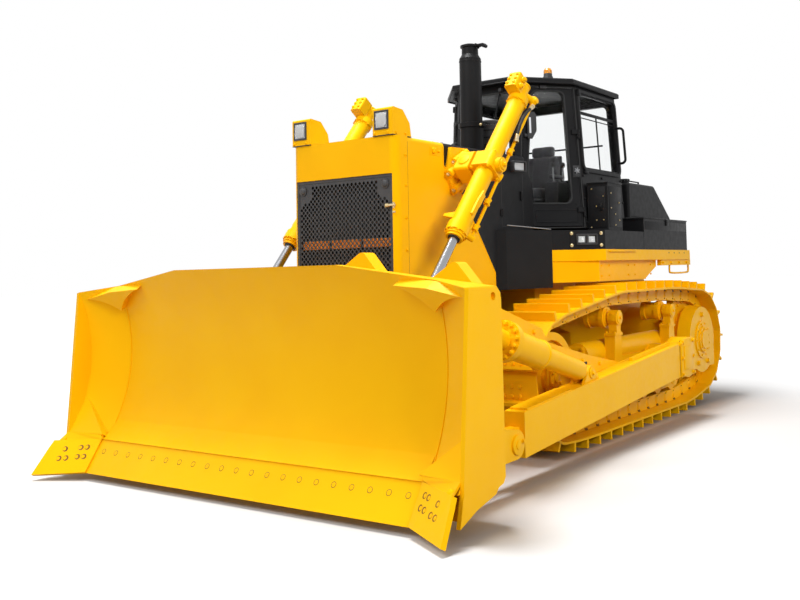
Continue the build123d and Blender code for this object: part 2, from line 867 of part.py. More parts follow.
door_window = [
    on_wall(door_plane, *corner)
    for corner in ((150, 2245), (598, 2245), (556, 3385), (228, 3385), (158, 2640))
]
window_r = 70.0
windscreen = [
    on_wall(front_plane, *corner)
    for corner in ((70, 2350), (2 * front_low.X - 70, 2350), (2 * front_low.X - 90, 3370), (90, 3370))
]
side_window = [on_wall(side_plane, *corner) for corner in ((50, 2600), (860, 2600), (860, 3390), (50, 3390))]
rear_window = [(-730, 2580), (730, 2580), (680, 3370), (-680, 3370)]


def window_block(plane, outline, thick, mode=Mode.ADD):
    """Slab with rounded corners, laid on a plane and extruded along its normal."""
    with BuildSketch(plane) as window:
        with BuildLine():
            FilletPolyline(*outline, radius=window_r, close=True)
        make_face()
    extrude(window.sketch, amount=thick, mode=mode)


rear_wall = Plane.XZ.offset(-cab_rear_y)
hinge_heights = (2100.0, 2900.0)
knuckle_r, knuckle_length = 15.0, 46.0
hinge_stand_off = 20.0
hinge_play = 2.0
hinge_low = door_plane.from_local_coords(Vector(cab_face_low - 8, 0, hinge_stand_off))
hinge_way = (side_high - side_low).normalized()


def knuckle(z_from, mode=Mode.ADD):
    """One barrel of a door hinge on the leaning hinge line."""
    start = hinge_low + hinge_way * ((z_from - cab_base_z) / hinge_way.Z)
    bar(tuple(start), tuple(start + hinge_way * knuckle_length), knuckle_r, mode)


def hinge_leaf(z_from, along_from, along_to, out_from, out_to):
    """Flat leaf of a door hinge, placed from the hinge line along the wall and from the wall outwards."""
    start = door_plane.to_local_coords(hinge_low + hinge_way * ((z_from - cab_base_z) / hinge_way.Z))
    with BuildSketch(door_plane.offset(out_from)) as leaf:
        with Locations((start.X + (along_from + along_to) / 2, start.Y + knuckle_length / 2)):
            Rectangle(along_to - along_from, knuckle_length)
    extrude(leaf.sketch, amount=out_to - out_from)


with BuildPart() as cab_shell:
    cab_solid(0, cab_base_z, cab_eave_z)
    cab_solid(cab_wall, cab_base_z + cab_wall, cab_eave_z, mode=Mode.SUBTRACT)
    window_block(front_plane.offset(-cab_wall - 20), windscreen, cab_wall + 40, Mode.SUBTRACT)
    window_block(rear_wall.offset(-5), rear_window, cab_wall + 10, Mode.SUBTRACT)
    with BuildSketch(door_plane) as door_hole:
        with BuildLine():
            Polyline(*door_outline(0), close=True)
        make_face()
    extrude(door_hole.sketch, amount=-cab_wall - 60, mode=Mode.SUBTRACT)
    window_block(side_plane.offset(-cab_wall - 20), side_window, cab_wall + 40, Mode.SUBTRACT)
    for z in hinge_heights:
        knuckle(z)
        hinge_leaf(z, -7, 7, -6, hinge_stand_off)
    # the left half is mirrored onto the right
    split(bisect_by=Plane.YZ)
    mirror(about=Plane.YZ)
cab_shell.part.label = "cab_shell"
export_step(cab_shell.part, "parts/cab_shell.step")

with BuildPart() as cab_glass:
    window_block(side_plane.offset(-cab_wall / 2), side_window, glass)
    mirror(about=Plane.YZ)
    window_block(front_plane.offset(-cab_wall / 2), windscreen, glass)
    window_block(rear_wall.offset(cab_wall / 2), rear_window, glass)
cab_glass.part.label = "cab_glass"
export_step(cab_glass.part, "parts/cab_glass.step")

with BuildPart() as cab_roof:
    # corners of the left half: front, side, rear
    roof_left = (
        (front_high.X + 24, front_high.Y - roof_brow),
        (side_high.X + roof_eave, side_high.Y - 90),
        (rear_high.X + roof_eave, cab_rear_y + roof_eave),
    )
    roof_right = [(-x, y) for x, y in reversed(roof_left)]
    with BuildSketch(Plane.XY.offset(cab_eave_z)) as roof_plan:
        with BuildLine():
            Polyline(*roof_left, *roof_right, close=True)
        make_face()
    extrude(roof_plan.sketch, amount=roof_thick)
    fillet(cab_roof.edges().group_by(Axis.Z)[-1], radius=22)
cab_roof.part.label = "cab_roof"
export_step(cab_roof.part, "parts/cab_roof.step")

with BuildPart() as door_left:
    with BuildSketch(door_plane) as door_skin:
        with BuildLine():
            Polyline(*door_outline(door_gap), close=True)
        make_face()
        with BuildLine():
            FilletPolyline(*door_window, radius=window_r, close=True)
        make_face(mode=Mode.SUBTRACT)
    extrude(door_skin.sketch, amount=-cab_wall)
    for z in hinge_heights:
        knuckle(z + knuckle_length + hinge_play)
        hinge_leaf(z + knuckle_length + hinge_play, -70, -18, -6, 12)
        hinge_leaf(z + knuckle_length + hinge_play, -70, 0, 8, 26)
door_left.part.label = "cab_door_left"
export_step(door_left.part, "parts/cab_door_left.step")

with BuildPart() as door_right:
    add(mirror(door_left.part, about=Plane.YZ, mode=Mode.PRIVATE))
door_right.part.label = "cab_door_right"
export_step(door_right.part, "parts/cab_door_right.step")

with BuildPart() as door_glass_left:
    window_block(door_plane.offset(-cab_wall / 2), door_window, glass)
door_glass_left.part.label = "door_glass_left"
export_step(door_glass_left.part, "parts/door_glass_left.step")

with BuildPart() as door_glass_right:
    add(mirror(door_glass_left.part, about=Plane.YZ, mode=Mode.PRIVATE))
door_glass_right.part.label = "door_glass_right"
export_step(door_glass_right.part, "parts/door_glass_right.step")

rail_r = 14.0
grip_reach = 95.0
grip_heights = (2720.0, 3110.0)


with BuildPart() as handrails:
    for side in sides:
        low, high = grip_heights
        grip = [
            (side * cab_half(low - 30), cab_rear_y - 40, low),
            (side * (cab_half(low) + grip_reach), cab_rear_y - 40, low),
            (side * (cab_half(high) + grip_reach), cab_rear_y - 40, high),
            (side * cab_half(high - 30), cab_rear_y - 40, high),
        ]
        with BuildLine() as grip_line:
            FilletPolyline(*grip, radius=45)
        with BuildSketch(Plane(origin=grip[0], z_dir=(side, 0, 0))) as grip_section:
            Circle(rail_r)
        sweep(grip_section.sketch, path=grip_line.line)
handrails.part.label = "handrails"
export_step(handrails.part, "parts/handrails.step")

with BuildPart() as seat:
    block(-260, 260, 760, 1260, cab_base_z + cab_wall, 2330)
    block(-250, 250, 760, 1260, 2330, 2450)
    block(-240, 240, 1170, 1290, 2450, 2960)
seat.part.label = "seat"
export_step(seat.part, "parts/seat.step")

with BuildPart() as controls:
    block(320, 480, 700, 1200, cab_base_z + cab_wall, 2480)
    block(-480, -320, 700, 1200, cab_base_z + cab_wall, 2480)
controls.part.label = "controls"
export_step(controls.part, "parts/controls.step")

roof_top_z = cab_eave_z + roof_thick
with BuildPart() as beacon:
    # radius, height above the roof
    beacon_outline = ((50, 0), (50, 26), (42, 32), (42, 96), (30, 116), (12, 122))
    turned(560, 420, [(radius, roof_top_z + z) for radius, z in beacon_outline])
beacon.part.label = "beacon"
export_step(beacon.part, "parts/beacon.step")

# ---------------------------------------------------------------- blade and its arms
blade_face_y = blade_top_y - (blade_face_r**2 - (blade_top_z - blade_face_z) ** 2) ** 0.5


def face_y(z, behind=0.0):
    """Y of the blade's curved face at a height, or of a surface some way behind it."""
    return blade_face_y + ((blade_face_r + behind) ** 2 - (z - blade_face_z) ** 2) ** 0.5


lip_y = face_y(lip_z)
pocket_low_z, pocket_high_z = 560.0, 1330.0
rib_xs = (-1400.0, -700.0, 0.0, 700.0, 1400.0)
rib_half = 15.0
plate_x = blade_half - end_plate


def behind_skin(z_from, z_to, depth=skin / 2, count=5):
    """Side-view corners that follow the curved face from one height to another, some way behind it."""
    step = (z_to - z_from) / (count - 1)
    return [(face_y(z_from + step * n, depth), z_from + step * n) for n in range(count)]


# side plate of the blade: y, z of its corners
end_plate_outline = (
    (-3077, blade_corner_z),
    (-3167, lip_z),
    (-3210, 91),
    (-2869, 231),
    (-2745, 262),
    (-2722, 300),
    (-2729, 1412),
    (-2772, 1467),
)
# plates across the blade's upper front corners: x, y, z of the corners
corner_inner, corner_mid = (1345, -2980, 1500), (1655, -2980, 1508)
corner_outer, corner_tip = (1930, -3040, 1424), (1638, -2920, 1324)
# plates across the lower front corners
low_inner, low_outer, low_tip = (1620, -3098, 345), (plate_x, -3156, 345), (plate_x, -3000, 626)
corner_depth = 85.0


def corner_plane(inner, outer, tip):
    """Plane of a corner plate and its corners on that plane; the normal points into the blade."""
    plane = wall_plane(Vector(*inner), Vector(*outer), Vector(*tip))
    return plane, [plane.to_local_coords(Vector(*corner)) for corner in (inner, outer, tip)]


with BuildPart() as moldboard:
    with BuildSketch(Plane.YZ.offset(-plate_x)) as blade_side:
        with BuildLine():
            ThreePointArc((blade_top_y, blade_top_z), (face_y(blade_face_z), blade_face_z), (lip_y, lip_z))
            Polyline(
                (lip_y, lip_z),
                (edge_low_y + 60, edge_low_z + 60),
                (edge_low_y + 110, edge_low_z + 60),
                (back_y - 100, 200),
                (back_y, 300),
                (back_y, 1440),
                (back_y - 60, 1500),
                (blade_top_y + 60, blade_top_z),
                (blade_top_y, blade_top_z),
            )
        make_face()
    extrude(blade_side.sketch, amount=2 * plate_x)
    # pockets between the ribs at the back
    pocket_edges = (-plate_x - rib_half,) + rib_xs + (plate_x + rib_half,)
    pocket_mid = (face_y(blade_face_z, skin), blade_face_z)
    pocket_low = (face_y(pocket_low_z, skin), pocket_low_z)
    pocket_high = (face_y(pocket_high_z, skin), pocket_high_z)
    for x_from, x_to in zip(pocket_edges, pocket_edges[1:]):
        with BuildSketch(Plane.YZ.offset(x_from + rib_half)) as pocket:
            with BuildLine():
                ThreePointArc(pocket_high, pocket_mid, pocket_low)
                Polyline(
                    pocket_low,
                    (back_y + 200, pocket_low_z),
                    (back_y + 200, pocket_high_z),
                    pocket_high,
                )
            make_face()
        extrude(pocket.sketch, amount=x_to - x_from - 2 * rib_half, mode=Mode.SUBTRACT)
    # wings that turn forward beyond the seams
    wing_sections = []
    for x, front in (
        (seam_x, ((blade_top_y, blade_top_z), (face_y(blade_face_z), blade_face_z), (lip_y, lip_z))),
        (plate_x, ((wing_top_y, blade_top_z), (wing_mid_y, wing_mid_z), (wing_low_y, lip_z))),
    ):
        back = behind_skin(lip_z, blade_top_z, skin, 3)
        with BuildSketch(Plane.YZ.offset(x)) as wing_section:
            with BuildLine():
                ThreePointArc(*front)
                Line(front[2], back[0])
                ThreePointArc(*back)
                Line(back[2], front[0])
            make_face()
        wing_sections.append(wing_section.sketch)
    loft(wing_sections, ruled=True)
    xz_prism(
        (
            (blade_flat_half, blade_top_z),
            (blade_half + 5, blade_corner_z),
            (blade_half + 5, blade_top_z + 5),
            (blade_flat_half, blade_top_z + 5),
        ),
        back_y + 200,
        blade_top_y - 400,
        mode=Mode.SUBTRACT,
    )
    plate_plane, (flat_inner, flat_outer, flat_tip) = corner_plane(corner_inner, corner_outer, corner_tip)
    flat_mid = plate_plane.to_local_coords(Vector(*corner_mid))
    with BuildSketch(plate_plane) as corner_plate:
        with BuildLine():
            Polyline((flat_inner.X, flat_inner.Y), (flat_mid.X, flat_mid.Y), (flat_outer.X, flat_outer.Y))
            ThreePointArc(
                (flat_outer.X, flat_outer.Y),
                ((flat_outer.X + flat_tip.X) / 2 - 22, (flat_outer.Y + flat_tip.Y) / 2 - 22),
                (flat_tip.X, flat_tip.Y),
            )
            ThreePointArc(
                (flat_tip.X, flat_tip.Y),
                ((flat_inner.X + flat_tip.X) / 2 + 22, (flat_inner.Y + flat_tip.Y) / 2 - 22),
                (flat_inner.X, flat_inner.Y),
            )
        make_face()
    extrude(corner_plate.sketch, amount=corner_depth)
    plate_plane, flat_corners = corner_plane(low_outer, low_inner, low_tip)
    with BuildSketch(plate_plane) as low_plate:
        with BuildLine():
            Polyline(*((corner.X, corner.Y) for corner in flat_corners), close=True)
        make_face()
    extrude(low_plate.sketch, amount=corner_depth)
    # side plate with its lifting eye
    yz_prism(end_plate_outline, plate_x, blade_half)
    x_disc(-2819, 1422, 26, plate_x, blade_half, mode=Mode.SUBTRACT)
    # hinge lugs for the push arms
    for lug_x in (arm_inner_x, arm_inner_x + arm_width - lug_thick):
        yz_prism(
            (
                (back_y - 20, hinge_z - 120),
                (hinge_y, hinge_z - hinge_lug_r),
                (hinge_y, hinge_z + hinge_lug_r),
                (back_y - 20, hinge_z + 260),
            ),
            lug_x,
            lug_x + lug_thick,
        )
        x_disc(hinge_y, hinge_z, hinge_lug_r, lug_x, lug_x + lug_thick)
        x_disc(hinge_y, hinge_z, hinge_pin_r + pin_play, lug_x, lug_x + lug_thick, mode=Mode.SUBTRACT)
    # ears that hold the lift rods' eyes
    for lug_x in (lift_x - eye_width / 2 - ear_play - ear_thick, lift_x + eye_width / 2 + ear_play):
        yz_prism(
            (
                *behind_skin(700, 1300),
                (lift_eye_y, lift_eye_z + 120),
                (lift_eye_y + 90, lift_eye_z + 70),
                (lift_eye_y + 90, lift_eye_z - 60),
                (lift_eye_y, lift_eye_z - 110),
            ),
            lug_x,
            lug_x + ear_thick,
        )
    # ears for the front ends of the braces
    for lug_x in (brace_x - brace_lug_gap / 2 - brace_lug, brace_x + brace_lug_gap / 2):
        yz_prism(
            (
                *behind_skin(1060, 1500),
                (brace_front_y + 20, brace_front_z + 90),
                (brace_front_y + 90, brace_front_z),
                (brace_front_y + 60, brace_front_z - 110),
            ),
            lug_x,
            lug_x + brace_lug,
        )
        x_disc(brace_front_y, brace_front_z, brace_pin_r, lug_x, lug_x + brace_lug, mode=Mode.SUBTRACT)
    # the left half is mirrored onto the right
    split(bisect_by=Plane.YZ)
    mirror(about=Plane.YZ)
    # two peaked guards for the tilt hoses, on the left only
    for peak_x, peak_z in ((837, 1722), (1643, 1636)):
        with BuildSketch(Plane.XZ.offset(-back_y + 20)) as peak:
            with BuildLine():
                FilletPolyline(
                    (peak_x - 240, 1380),
                    (peak_x - 215, peak_z - 110),
                    (peak_x, peak_z + 20),
                    (peak_x + 190, peak_z - 190),
                    (peak_x + 190, 1380),
                    radius=45,
                )
                Line((peak_x + 190, 1380), (peak_x - 240, 1380))
            make_face()
        extrude(peak.sketch, amount=-110)
moldboard.part.label = "moldboard"
export_step(moldboard.part, "parts/moldboard.step")

with BuildPart() as cutting_edge:
    yz_prism(
        (
            (lip_y - edge_thick * 0.83, lip_z + edge_thick * 0.56),
            (edge_low_y, edge_low_z),
            (edge_low_y + 45, edge_low_z + 20),
            (edge_low_y + 60, edge_low_z + 60),
            (lip_y, lip_z),
        ),
        -edge_half,
        edge_half,
    )
cutting_edge.part.label = "cutting_edge"
export_step(cutting_edge.part, "parts/cutting_edge.step")

bit_thick = 36.0
with BuildPart() as end_bits:
    bit_corner = Vector(edge_half + 1, edge_low_y, edge_low_z)
    bit_side = Vector(bit_tip_x, bit_tip_y, bit_tip_z) - bit_corner
    bit_rise = Vector(0, lip_y - edge_thick * 0.83 - edge_low_y, lip_z + edge_thick * 0.56 - edge_low_z)
    bit_plane = Plane(origin=bit_corner, x_dir=bit_side, z_dir=bit_side.cross(bit_rise))
    bit_reach = bit_plane.to_local_coords(bit_corner + bit_rise)
    with BuildSketch(bit_plane) as bit:
        with BuildLine():
            Polyline(
                (0, 0),
                (bit_side.length, 0),
                (bit_side.length - 12 + bit_reach.X, bit_reach.Y - 60),
                (bit_side.length * 0.9 + bit_reach.X, bit_reach.Y + 8),
                (bit_reach.X, bit_reach.Y),
                close=True,
            )
        make_face()
    extrude(bit.sketch, amount=bit_thick / 2, both=True)
    mirror(about=Plane.YZ)
end_bits.part.label = "end_bits"
export_step(end_bits.part, "parts/end_bits.step")

def arm_top_z(y):
    """Height of a push arm's top face."""
    rise = (pivot_z - arm_nose_z) / (arm_rear_y - arm_nose_y)
    return arm_nose_z + (y - arm_nose_y) * rise + arm_height / 2


for side_name, side in (("left", 1), ("right", -1)):
    with BuildPart() as push_arm:
        inner, outer = side * arm_inner_x, side * (arm_inner_x + arm_width)
        yz_prism(
            (
                (arm_nose_y, arm_nose_z - arm_height / 2),
                (arm_rear_y, pivot_z - arm_height / 2),
                (arm_rear_y, pivot_z + arm_height / 2),
                (arm_nose_y, arm_nose_z + arm_height / 2),
            ),
            inner,
            outer,
        )
        x_disc(pivot_y, pivot_z, cap_r, inner, outer)
        # wear plate on top of the nose, and the ridge ahead of the pivot
        for y_front, y_back, rise, margin in ((-1790, -1120, 14, 12), (150, 1010, 30, 70)):
            yz_prism(
                (
                    (y_front, arm_top_z(y_front) - 10),
                    (y_back, arm_top_z(y_back) - 10),
                    (y_back, arm_top_z(y_back) + rise),
                    (y_front, arm_top_z(y_front) + rise),
                ),
                inner + side * margin,
                outer - side * margin,
            )
        x_disc(pivot_y, pivot_z, pivot_pin_r + pin_play, inner, outer - side * 20, mode=Mode.SUBTRACT)
        # tongue and pin that carry the blade
        tongue_inner = side * (arm_inner_x + lug_thick + tongue_play)
        tongue_outer = side * (arm_inner_x + arm_width - lug_thick - tongue_play)
        yz_prism(
            (
                (hinge_y, hinge_z - hinge_lug_r),
                (arm_nose_y, hinge_z - hinge_lug_r),
                (arm_nose_y, hinge_z + hinge_lug_r),
                (hinge_y, hinge_z + hinge_lug_r),
            ),
            tongue_inner,
            tongue_outer,
        )
        x_disc(hinge_y, hinge_z, hinge_lug_r, tongue_inner, tongue_outer)
        x_disc(hinge_y, hinge_z, hinge_pin_r, inner - side * 12, outer + side * 12)
        # lugs for the brace's rear eye
        for lug_x in (brace_x - brace_lug_gap / 2 - brace_lug, brace_x + brace_lug_gap / 2):
            yz_prism(
                (
                    (brace_rear_y - 140, arm_top_z(brace_rear_y - 140) - 10),
                    (brace_rear_y + 140, arm_top_z(brace_rear_y + 140) - 10),
                    (brace_rear_y + brace_eye_r, brace_rear_z + 20),
                    (brace_rear_y + 20, brace_rear_z + brace_eye_r),
                    (brace_rear_y - 20, brace_rear_z + brace_eye_r),
                    (brace_rear_y - brace_eye_r, brace_rear_z + 20),
                ),
                side * lug_x,
                side * (lug_x + brace_lug),
            )
            x_disc(
                brace_rear_y,
                brace_rear_z,
                brace_pin_r,
                side * lug_x,
                side * (lug_x + brace_lug),
                mode=Mode.SUBTRACT,
            )
    push_arm.part.label = f"push_arm_{side_name}"
    export_step(push_arm.part, f"parts/push_arm_{side_name}.step")

brace = Vector(0, brace_front_y - brace_rear_y, brace_front_z - brace_rear_z)
brace_way = brace.normalized()


def brace_point(reach):
    """Point on the brace's axis, a given distance from its rear pin."""
    return (brace_x, brace_rear_y + brace_way.Y * reach, brace_rear_z + brace_way.Z * reach)


def brace_eyes():
    """Eyes at both ends of a brace, with the pins that end flush with the lugs."""
    pin_half = brace_lug_gap / 2 + brace_lug
    for y, z in ((brace_rear_y, brace_rear_z), (brace_front_y, brace_front_z)):
        x_disc(y, z, brace_eye_r, brace_x - brace_eye_width / 2, brace_x + brace_eye_width / 2)
        x_disc(y, z, brace_pin_r, brace_x - pin_half, brace_x + pin_half)
    bar(brace_point(0), brace_point(110), brace_eye_width / 2)
    bar(brace_point(brace.length - 110), brace_point(brace.length), brace_eye_width / 2)


with BuildPart() as tilt_cylinder:
    bar(brace_point(110), brace_point(760), 82)
    bar(brace_point(760), brace_point(1230), 112)
    bar(brace_point(1230), brace_point(1290), 153)
    bar(brace_point(1290), brace_point(brace.length - 110), 75)
    brace_eyes()
tilt_cylinder.part.label = "tilt_cylinder"
export_step(tilt_cylinder.part, "parts/tilt_cylinder.step")

with BuildPart() as brace_strut:
    bar(brace_point(110), brace_point(brace.length - 110), 75)
    brace_eyes()
    mirror(brace_strut.part, about=Plane.YZ, mode=Mode.REPLACE)
brace_strut.part.label = "brace_strut"
export_step(brace_strut.part, "parts/brace_strut.step")

guard_plate = 14.0
with BuildPart() as hose_guard:
    yz_prism(
        (
            (-2500, 1325),
            (-1960, 1325),
            (-1302, 1110),
            (-1202, 990),
            (-470, 815),
            (40, arm_top_z(40) + 14),
            (40, arm_top_z(40)),
            (-560, arm_top_z(-560)),
            (-610, 740),
            (-760, 812),
            (-1440, 1030),
            (-1860, 1190),
            (-1880, 1240),
            (-2500, 1240),
        ),
        arm_inner_x,
        arm_inner_x + guard_plate,
    )
hose_guard.part.label = "hose_guard"
export_step(hose_guard.part, "parts/hose_guard.step")

# ---------------------------------------------------------------- lift cylinders
lift = Vector(0, lift_eye_y - lift_pivot_y, lift_eye_z - lift_pivot_z)
lift_way = lift.normalized()


def lift_point(side, reach):
    """Point on a lift cylinder's axis, a given distance below its pivot."""
    return (side * lift_x, lift_pivot_y + lift_way.Y * reach, lift_pivot_z + lift_way.Z * reach)


yoke_outer, shaft_buried = lift_x - 116, 160.0
yoke_half, yoke_reach = 78.0, 108.0
bearing_x = 655.0
pipe_offset, pipe_out, pipe_r = 112.0, 68.0, 15.0
trunnion_shaft_r = 60.0
for side_name, side in (("left", 1), ("right", -1)):
    with BuildPart() as lift_barrel:
        # radius, reach from, reach to: head cap, barrel, gland, rod wiper, neck
        for radius, reach_from, reach_to in (
            (92, -barrel_above, -barrel_above + 70),
            (barrel_r, -barrel_above, barrel_below),
            (94, barrel_below - 110, barrel_below - 24),
            (70, barrel_below, barrel_below + 22),
            (54, -barrel_above - 150, -barrel_above),
        ):
            bar(lift_point(side, reach_from), lift_point(side, reach_to), radius)
        # ring yoke
        with BuildSketch(Plane(origin=lift_point(side, -yoke_half), x_dir=(1, 0, 0), z_dir=lift_way)) as yoke:
            RectangleRounded(2 * yoke_reach, 2 * yoke_reach, 45)
        extrude(yoke.sketch, amount=2 * yoke_half)
        x_disc(lift_pivot_y, lift_pivot_z, 62, side * lift_x, side * (lift_x + yoke_reach + 46))
        # valve block on the head, and the oil pipe behind the barrel
        rear = Vector(0, -lift_way.Z, lift_way.Y)
        valve = Vector(*lift_point(side, -barrel_above - 150)) - rear * 118
        with BuildSketch(Plane(origin=valve, x_dir=(1, 0, 0), z_dir=lift_way)) as valve_block:
            RectangleRounded(120, 130, 20)
        extrude(valve_block.sketch, amount=165)
        bar(tuple(valve + rear * 60 + lift_way * 40), tuple(valve + rear * 118 + lift_way * 40), 40)
        pipe = rear * pipe_offset + Vector(side * pipe_out, 0, 0)
        port_high = Vector(*lift_point(side, -barrel_above - 70))
        port_mid = Vector(*lift_point(side, 40))
        port_low = Vector(*lift_point(side, barrel_below - 70))
        bar(tuple(port_high + pipe), tuple(port_low + pipe), pipe_r)
        for port, reach, radius in ((port_high, 1.22, 34), (port_mid, 1.15, 44), (port_low, 1.15, 28)):
            bar(tuple(port), tuple(port + pipe * reach), radius)
        x_disc(lift_pivot_y, lift_pivot_z, trunnion_shaft_r, side * (yoke_outer - shaft_buried), side * lift_x)
        bar(lift_point(side, -bore_above), lift_point(side, barrel_below + 25), rod_r + pin_play, mode=Mode.SUBTRACT)
    lift_barrel.part.label = f"lift_barrel_{side_name}"
    export_step(lift_barrel.part, f"parts/lift_barrel_{side_name}.step")

    with BuildPart() as lift_rod:
        bar(lift_point(side, rod_start), lift_point(side, lift.length), rod_r)
        x_disc(
            lift_eye_y,
            lift_eye_z,
            eye_r,
            side * (lift_x - eye_width / 2),
            side * (lift_x + eye_width / 2),
        )
    lift_rod.part.label = f"lift_rod_{side_name}"
    export_step(lift_rod.part, f"parts/lift_rod_{side_name}.step")

with BuildPart() as yoke_brackets:
    # arm from the hood's side and the bearing block at its end
    x_disc(lift_pivot_y, lift_pivot_z, 92, hood_half, bearing_x)
    bearing_plane = Plane(origin=(bearing_x, lift_pivot_y, lift_pivot_z), x_dir=lift_way, z_dir=(1, 0, 0))
    with BuildSketch(bearing_plane) as bearing:
        RectangleRounded(210, 200, 26)
    extrude(bearing.sketch, amount=yoke_outer - bearing_x)
    # wall plate: y and z from the pivot
    yz_prism(
        [
            (lift_pivot_y + y, lift_pivot_z + z)
            for y, z in ((-90, 180), (150, 190), (200, 40), (170, -150), (-40, -230), (-150, -60))
        ],
        hood_half,
        hood_half + 32,
    )
    # bosses for the bracket's bolts: y and z of the front end
    for y, z in ((-1306, 2508), (-1383, 2401), (-1310, 2270)):
        bar((hood_half + 42, y, z), (hood_half + 42, y + 190, z + 100), 37)
    x_disc(
        lift_pivot_y,
        lift_pivot_z,
        trunnion_shaft_r + pin_play,
        yoke_outer - shaft_buried - 5,
        yoke_outer,
        mode=Mode.SUBTRACT,
    )
    mirror(about=Plane.YZ)
yoke_brackets.part.label = "yoke_brackets"
export_step(yoke_brackets.part, "parts/yoke_brackets.step")
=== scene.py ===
from math import asin, atan2, cos, hypot, pi, radians, sin

import bmesh
import bpy
from mathutils import Matrix, Vector


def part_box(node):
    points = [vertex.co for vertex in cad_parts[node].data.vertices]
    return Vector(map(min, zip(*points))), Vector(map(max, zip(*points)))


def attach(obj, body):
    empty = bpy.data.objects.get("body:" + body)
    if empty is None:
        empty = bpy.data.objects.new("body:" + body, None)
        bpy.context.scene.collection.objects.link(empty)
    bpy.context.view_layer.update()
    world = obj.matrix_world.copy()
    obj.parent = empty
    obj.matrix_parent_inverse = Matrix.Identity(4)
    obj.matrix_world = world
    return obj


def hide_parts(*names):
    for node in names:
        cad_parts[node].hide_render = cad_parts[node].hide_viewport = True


# Crawler dozer with a straight tilting blade: the looks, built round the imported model.
# The frame is in metres, +Z up; the blade faces -Y, and +X is the operator's left.
# The builders below work in millimetres and turn them to metres with MM.
bl_info = {
    "name": "Crawler dozer details",
    "version": (1, 0, 0),
    "blender": (4, 5, 0),
    "location": "3D View > Sidebar > Dozer",
    "description": "Adds tracks, lamps, grille, bolts, hoses and finishes to a packed crawler dozer",
    "category": "Object",
}

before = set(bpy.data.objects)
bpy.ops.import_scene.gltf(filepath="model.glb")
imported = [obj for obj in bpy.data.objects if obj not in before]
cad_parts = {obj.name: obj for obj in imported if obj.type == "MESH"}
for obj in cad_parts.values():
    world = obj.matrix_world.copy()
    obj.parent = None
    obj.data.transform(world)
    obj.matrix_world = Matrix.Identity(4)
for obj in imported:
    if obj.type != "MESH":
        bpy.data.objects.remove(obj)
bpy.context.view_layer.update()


# ---------------------------------------------------------------- sizes and colours to change
def linear(hex_code):
    """sRGB hex code to linear RGBA."""
    channels = [int(hex_code[i : i + 2], 16) / 255 for i in (1, 3, 5)]
    return (*[c / 12.92 if c <= 0.04045 else ((c + 0.055) / 1.055) ** 2.4 for c in channels], 1.0)


def colour_property(name, description, hex_code):
    """Colour that a user can change, written as sRGB hex."""
    return bpy.props.FloatVectorProperty(
        name=name, description=description, subtype="COLOR", size=4, min=0.0, max=1.0, default=linear(hex_code)
    )


def length_property(name, description, millimetres):
    """Length that a user can change, shown in scene units."""
    return bpy.props.FloatProperty(
        name=name, description=description, unit="LENGTH", min=0.0005, default=millimetres / 1000
    )


class DozerSizes(bpy.types.PropertyGroup):
    """Sizes of the added details"""

    shoe_bolt: length_property("Shoe bolt", "Width across flats of the bolts that hold the track shoes", 30)
    pin_boss: length_property("Pin boss", "Radius of the boss round each track pin", 40)
    frame_bolt: length_property("Frame bolt", "Width across flats of the bolts on the roller guards", 30)
    weld_bead: length_property("Weld bead", "Radius of the weld beads on blade and arms", 4.5)
    hose: length_property("Hose", "Outside radius of the hydraulic hoses", 15)
    grille_bridge: length_property("Grille bridge", "Metal left round each hole of the grille", 4.6)
    cushion_swell: length_property("Cushion swell", "Furthest that filling pushes a seat cushion outwards", 10)


class DozerColours(bpy.types.PropertyGroup):
    """Colours of the main finishes"""

    yellow: colour_property("Machine yellow", "Enamel on castings, blade and sheet metal", "#F6B908")
    yellow_shade: colour_property("Yellow shade", "Second tone of the yellow film", "#F4B507")
    black: colour_property("Cab black", "Enamel on cab, platform and tank", "#1D1D1E")
    black_shade: colour_property("Black shade", "Second tone of the black film", "#19191A")
    cloth_dark: colour_property("Cloth ground", "Darker thread of the seat cloth", "#1E1E20")
    cloth_light: colour_property("Cloth highlight", "Lighter thread of the seat cloth", "#333336")


def size_mm(name):
    """A size from the panel, in millimetres."""
    return getattr(bpy.context.scene.dozer_sizes, name) * 1000


def colour_of(name):
    """A colour from the panel, linear RGBA."""
    return tuple(getattr(bpy.context.scene.dozer_colours, name))


# ---------------------------------------------------------------- materials
WAVE_BANDS = 3.14  # a wave texture of scale 1 has about this many bands a metre


def add_node(tree, kind, settings=None, links=None):
    """Adds a node, sets its values or properties, and links its inputs to other nodes' outputs."""
    node = tree.nodes.new(kind)
    for key, value in (settings or {}).items():
        if isinstance(key, int) or key in node.inputs:
            node.inputs[key].default_value = value
        else:
            setattr(node, key, value)
    for key, output in (links or {}).items():
        tree.links.new(output, node.inputs[key])
    return node


def per_mm(size):
    """Texture scale at which one pattern cell is about size millimetres."""
    return 1000.0 / size


def new_material(name):
    """Empty node material with its output and principled shader."""
    material = bpy.data.materials.new(name)
    material.use_nodes = True
    tree = material.node_tree
    tree.nodes.clear()
    shader = add_node(tree, "ShaderNodeBsdfPrincipled")
    add_node(tree, "ShaderNodeOutputMaterial", None, {"Surface": shader.outputs["BSDF"]})
    place = add_node(tree, "ShaderNodeTexCoord")
    return material, tree, shader, place.outputs["Object"]


def speckle(tree, place, grain, low, high, detail=3.0):
    """Noise with features about grain millimetres across, remapped to run from low to high."""
    noise = add_node(
        tree,
        "ShaderNodeTexNoise",
        {"Scale": per_mm(grain), "Detail": detail, "Roughness": 0.55},
        {"Vector": place},
    )
    spread = add_node(
        tree,
        "ShaderNodeMapRange",
        {"From Min": 0.35, "From Max": 0.65, "To Min": low, "To Max": high},
        {"Value": noise.outputs["Fac"]},
    )
    return spread.outputs["Result"]


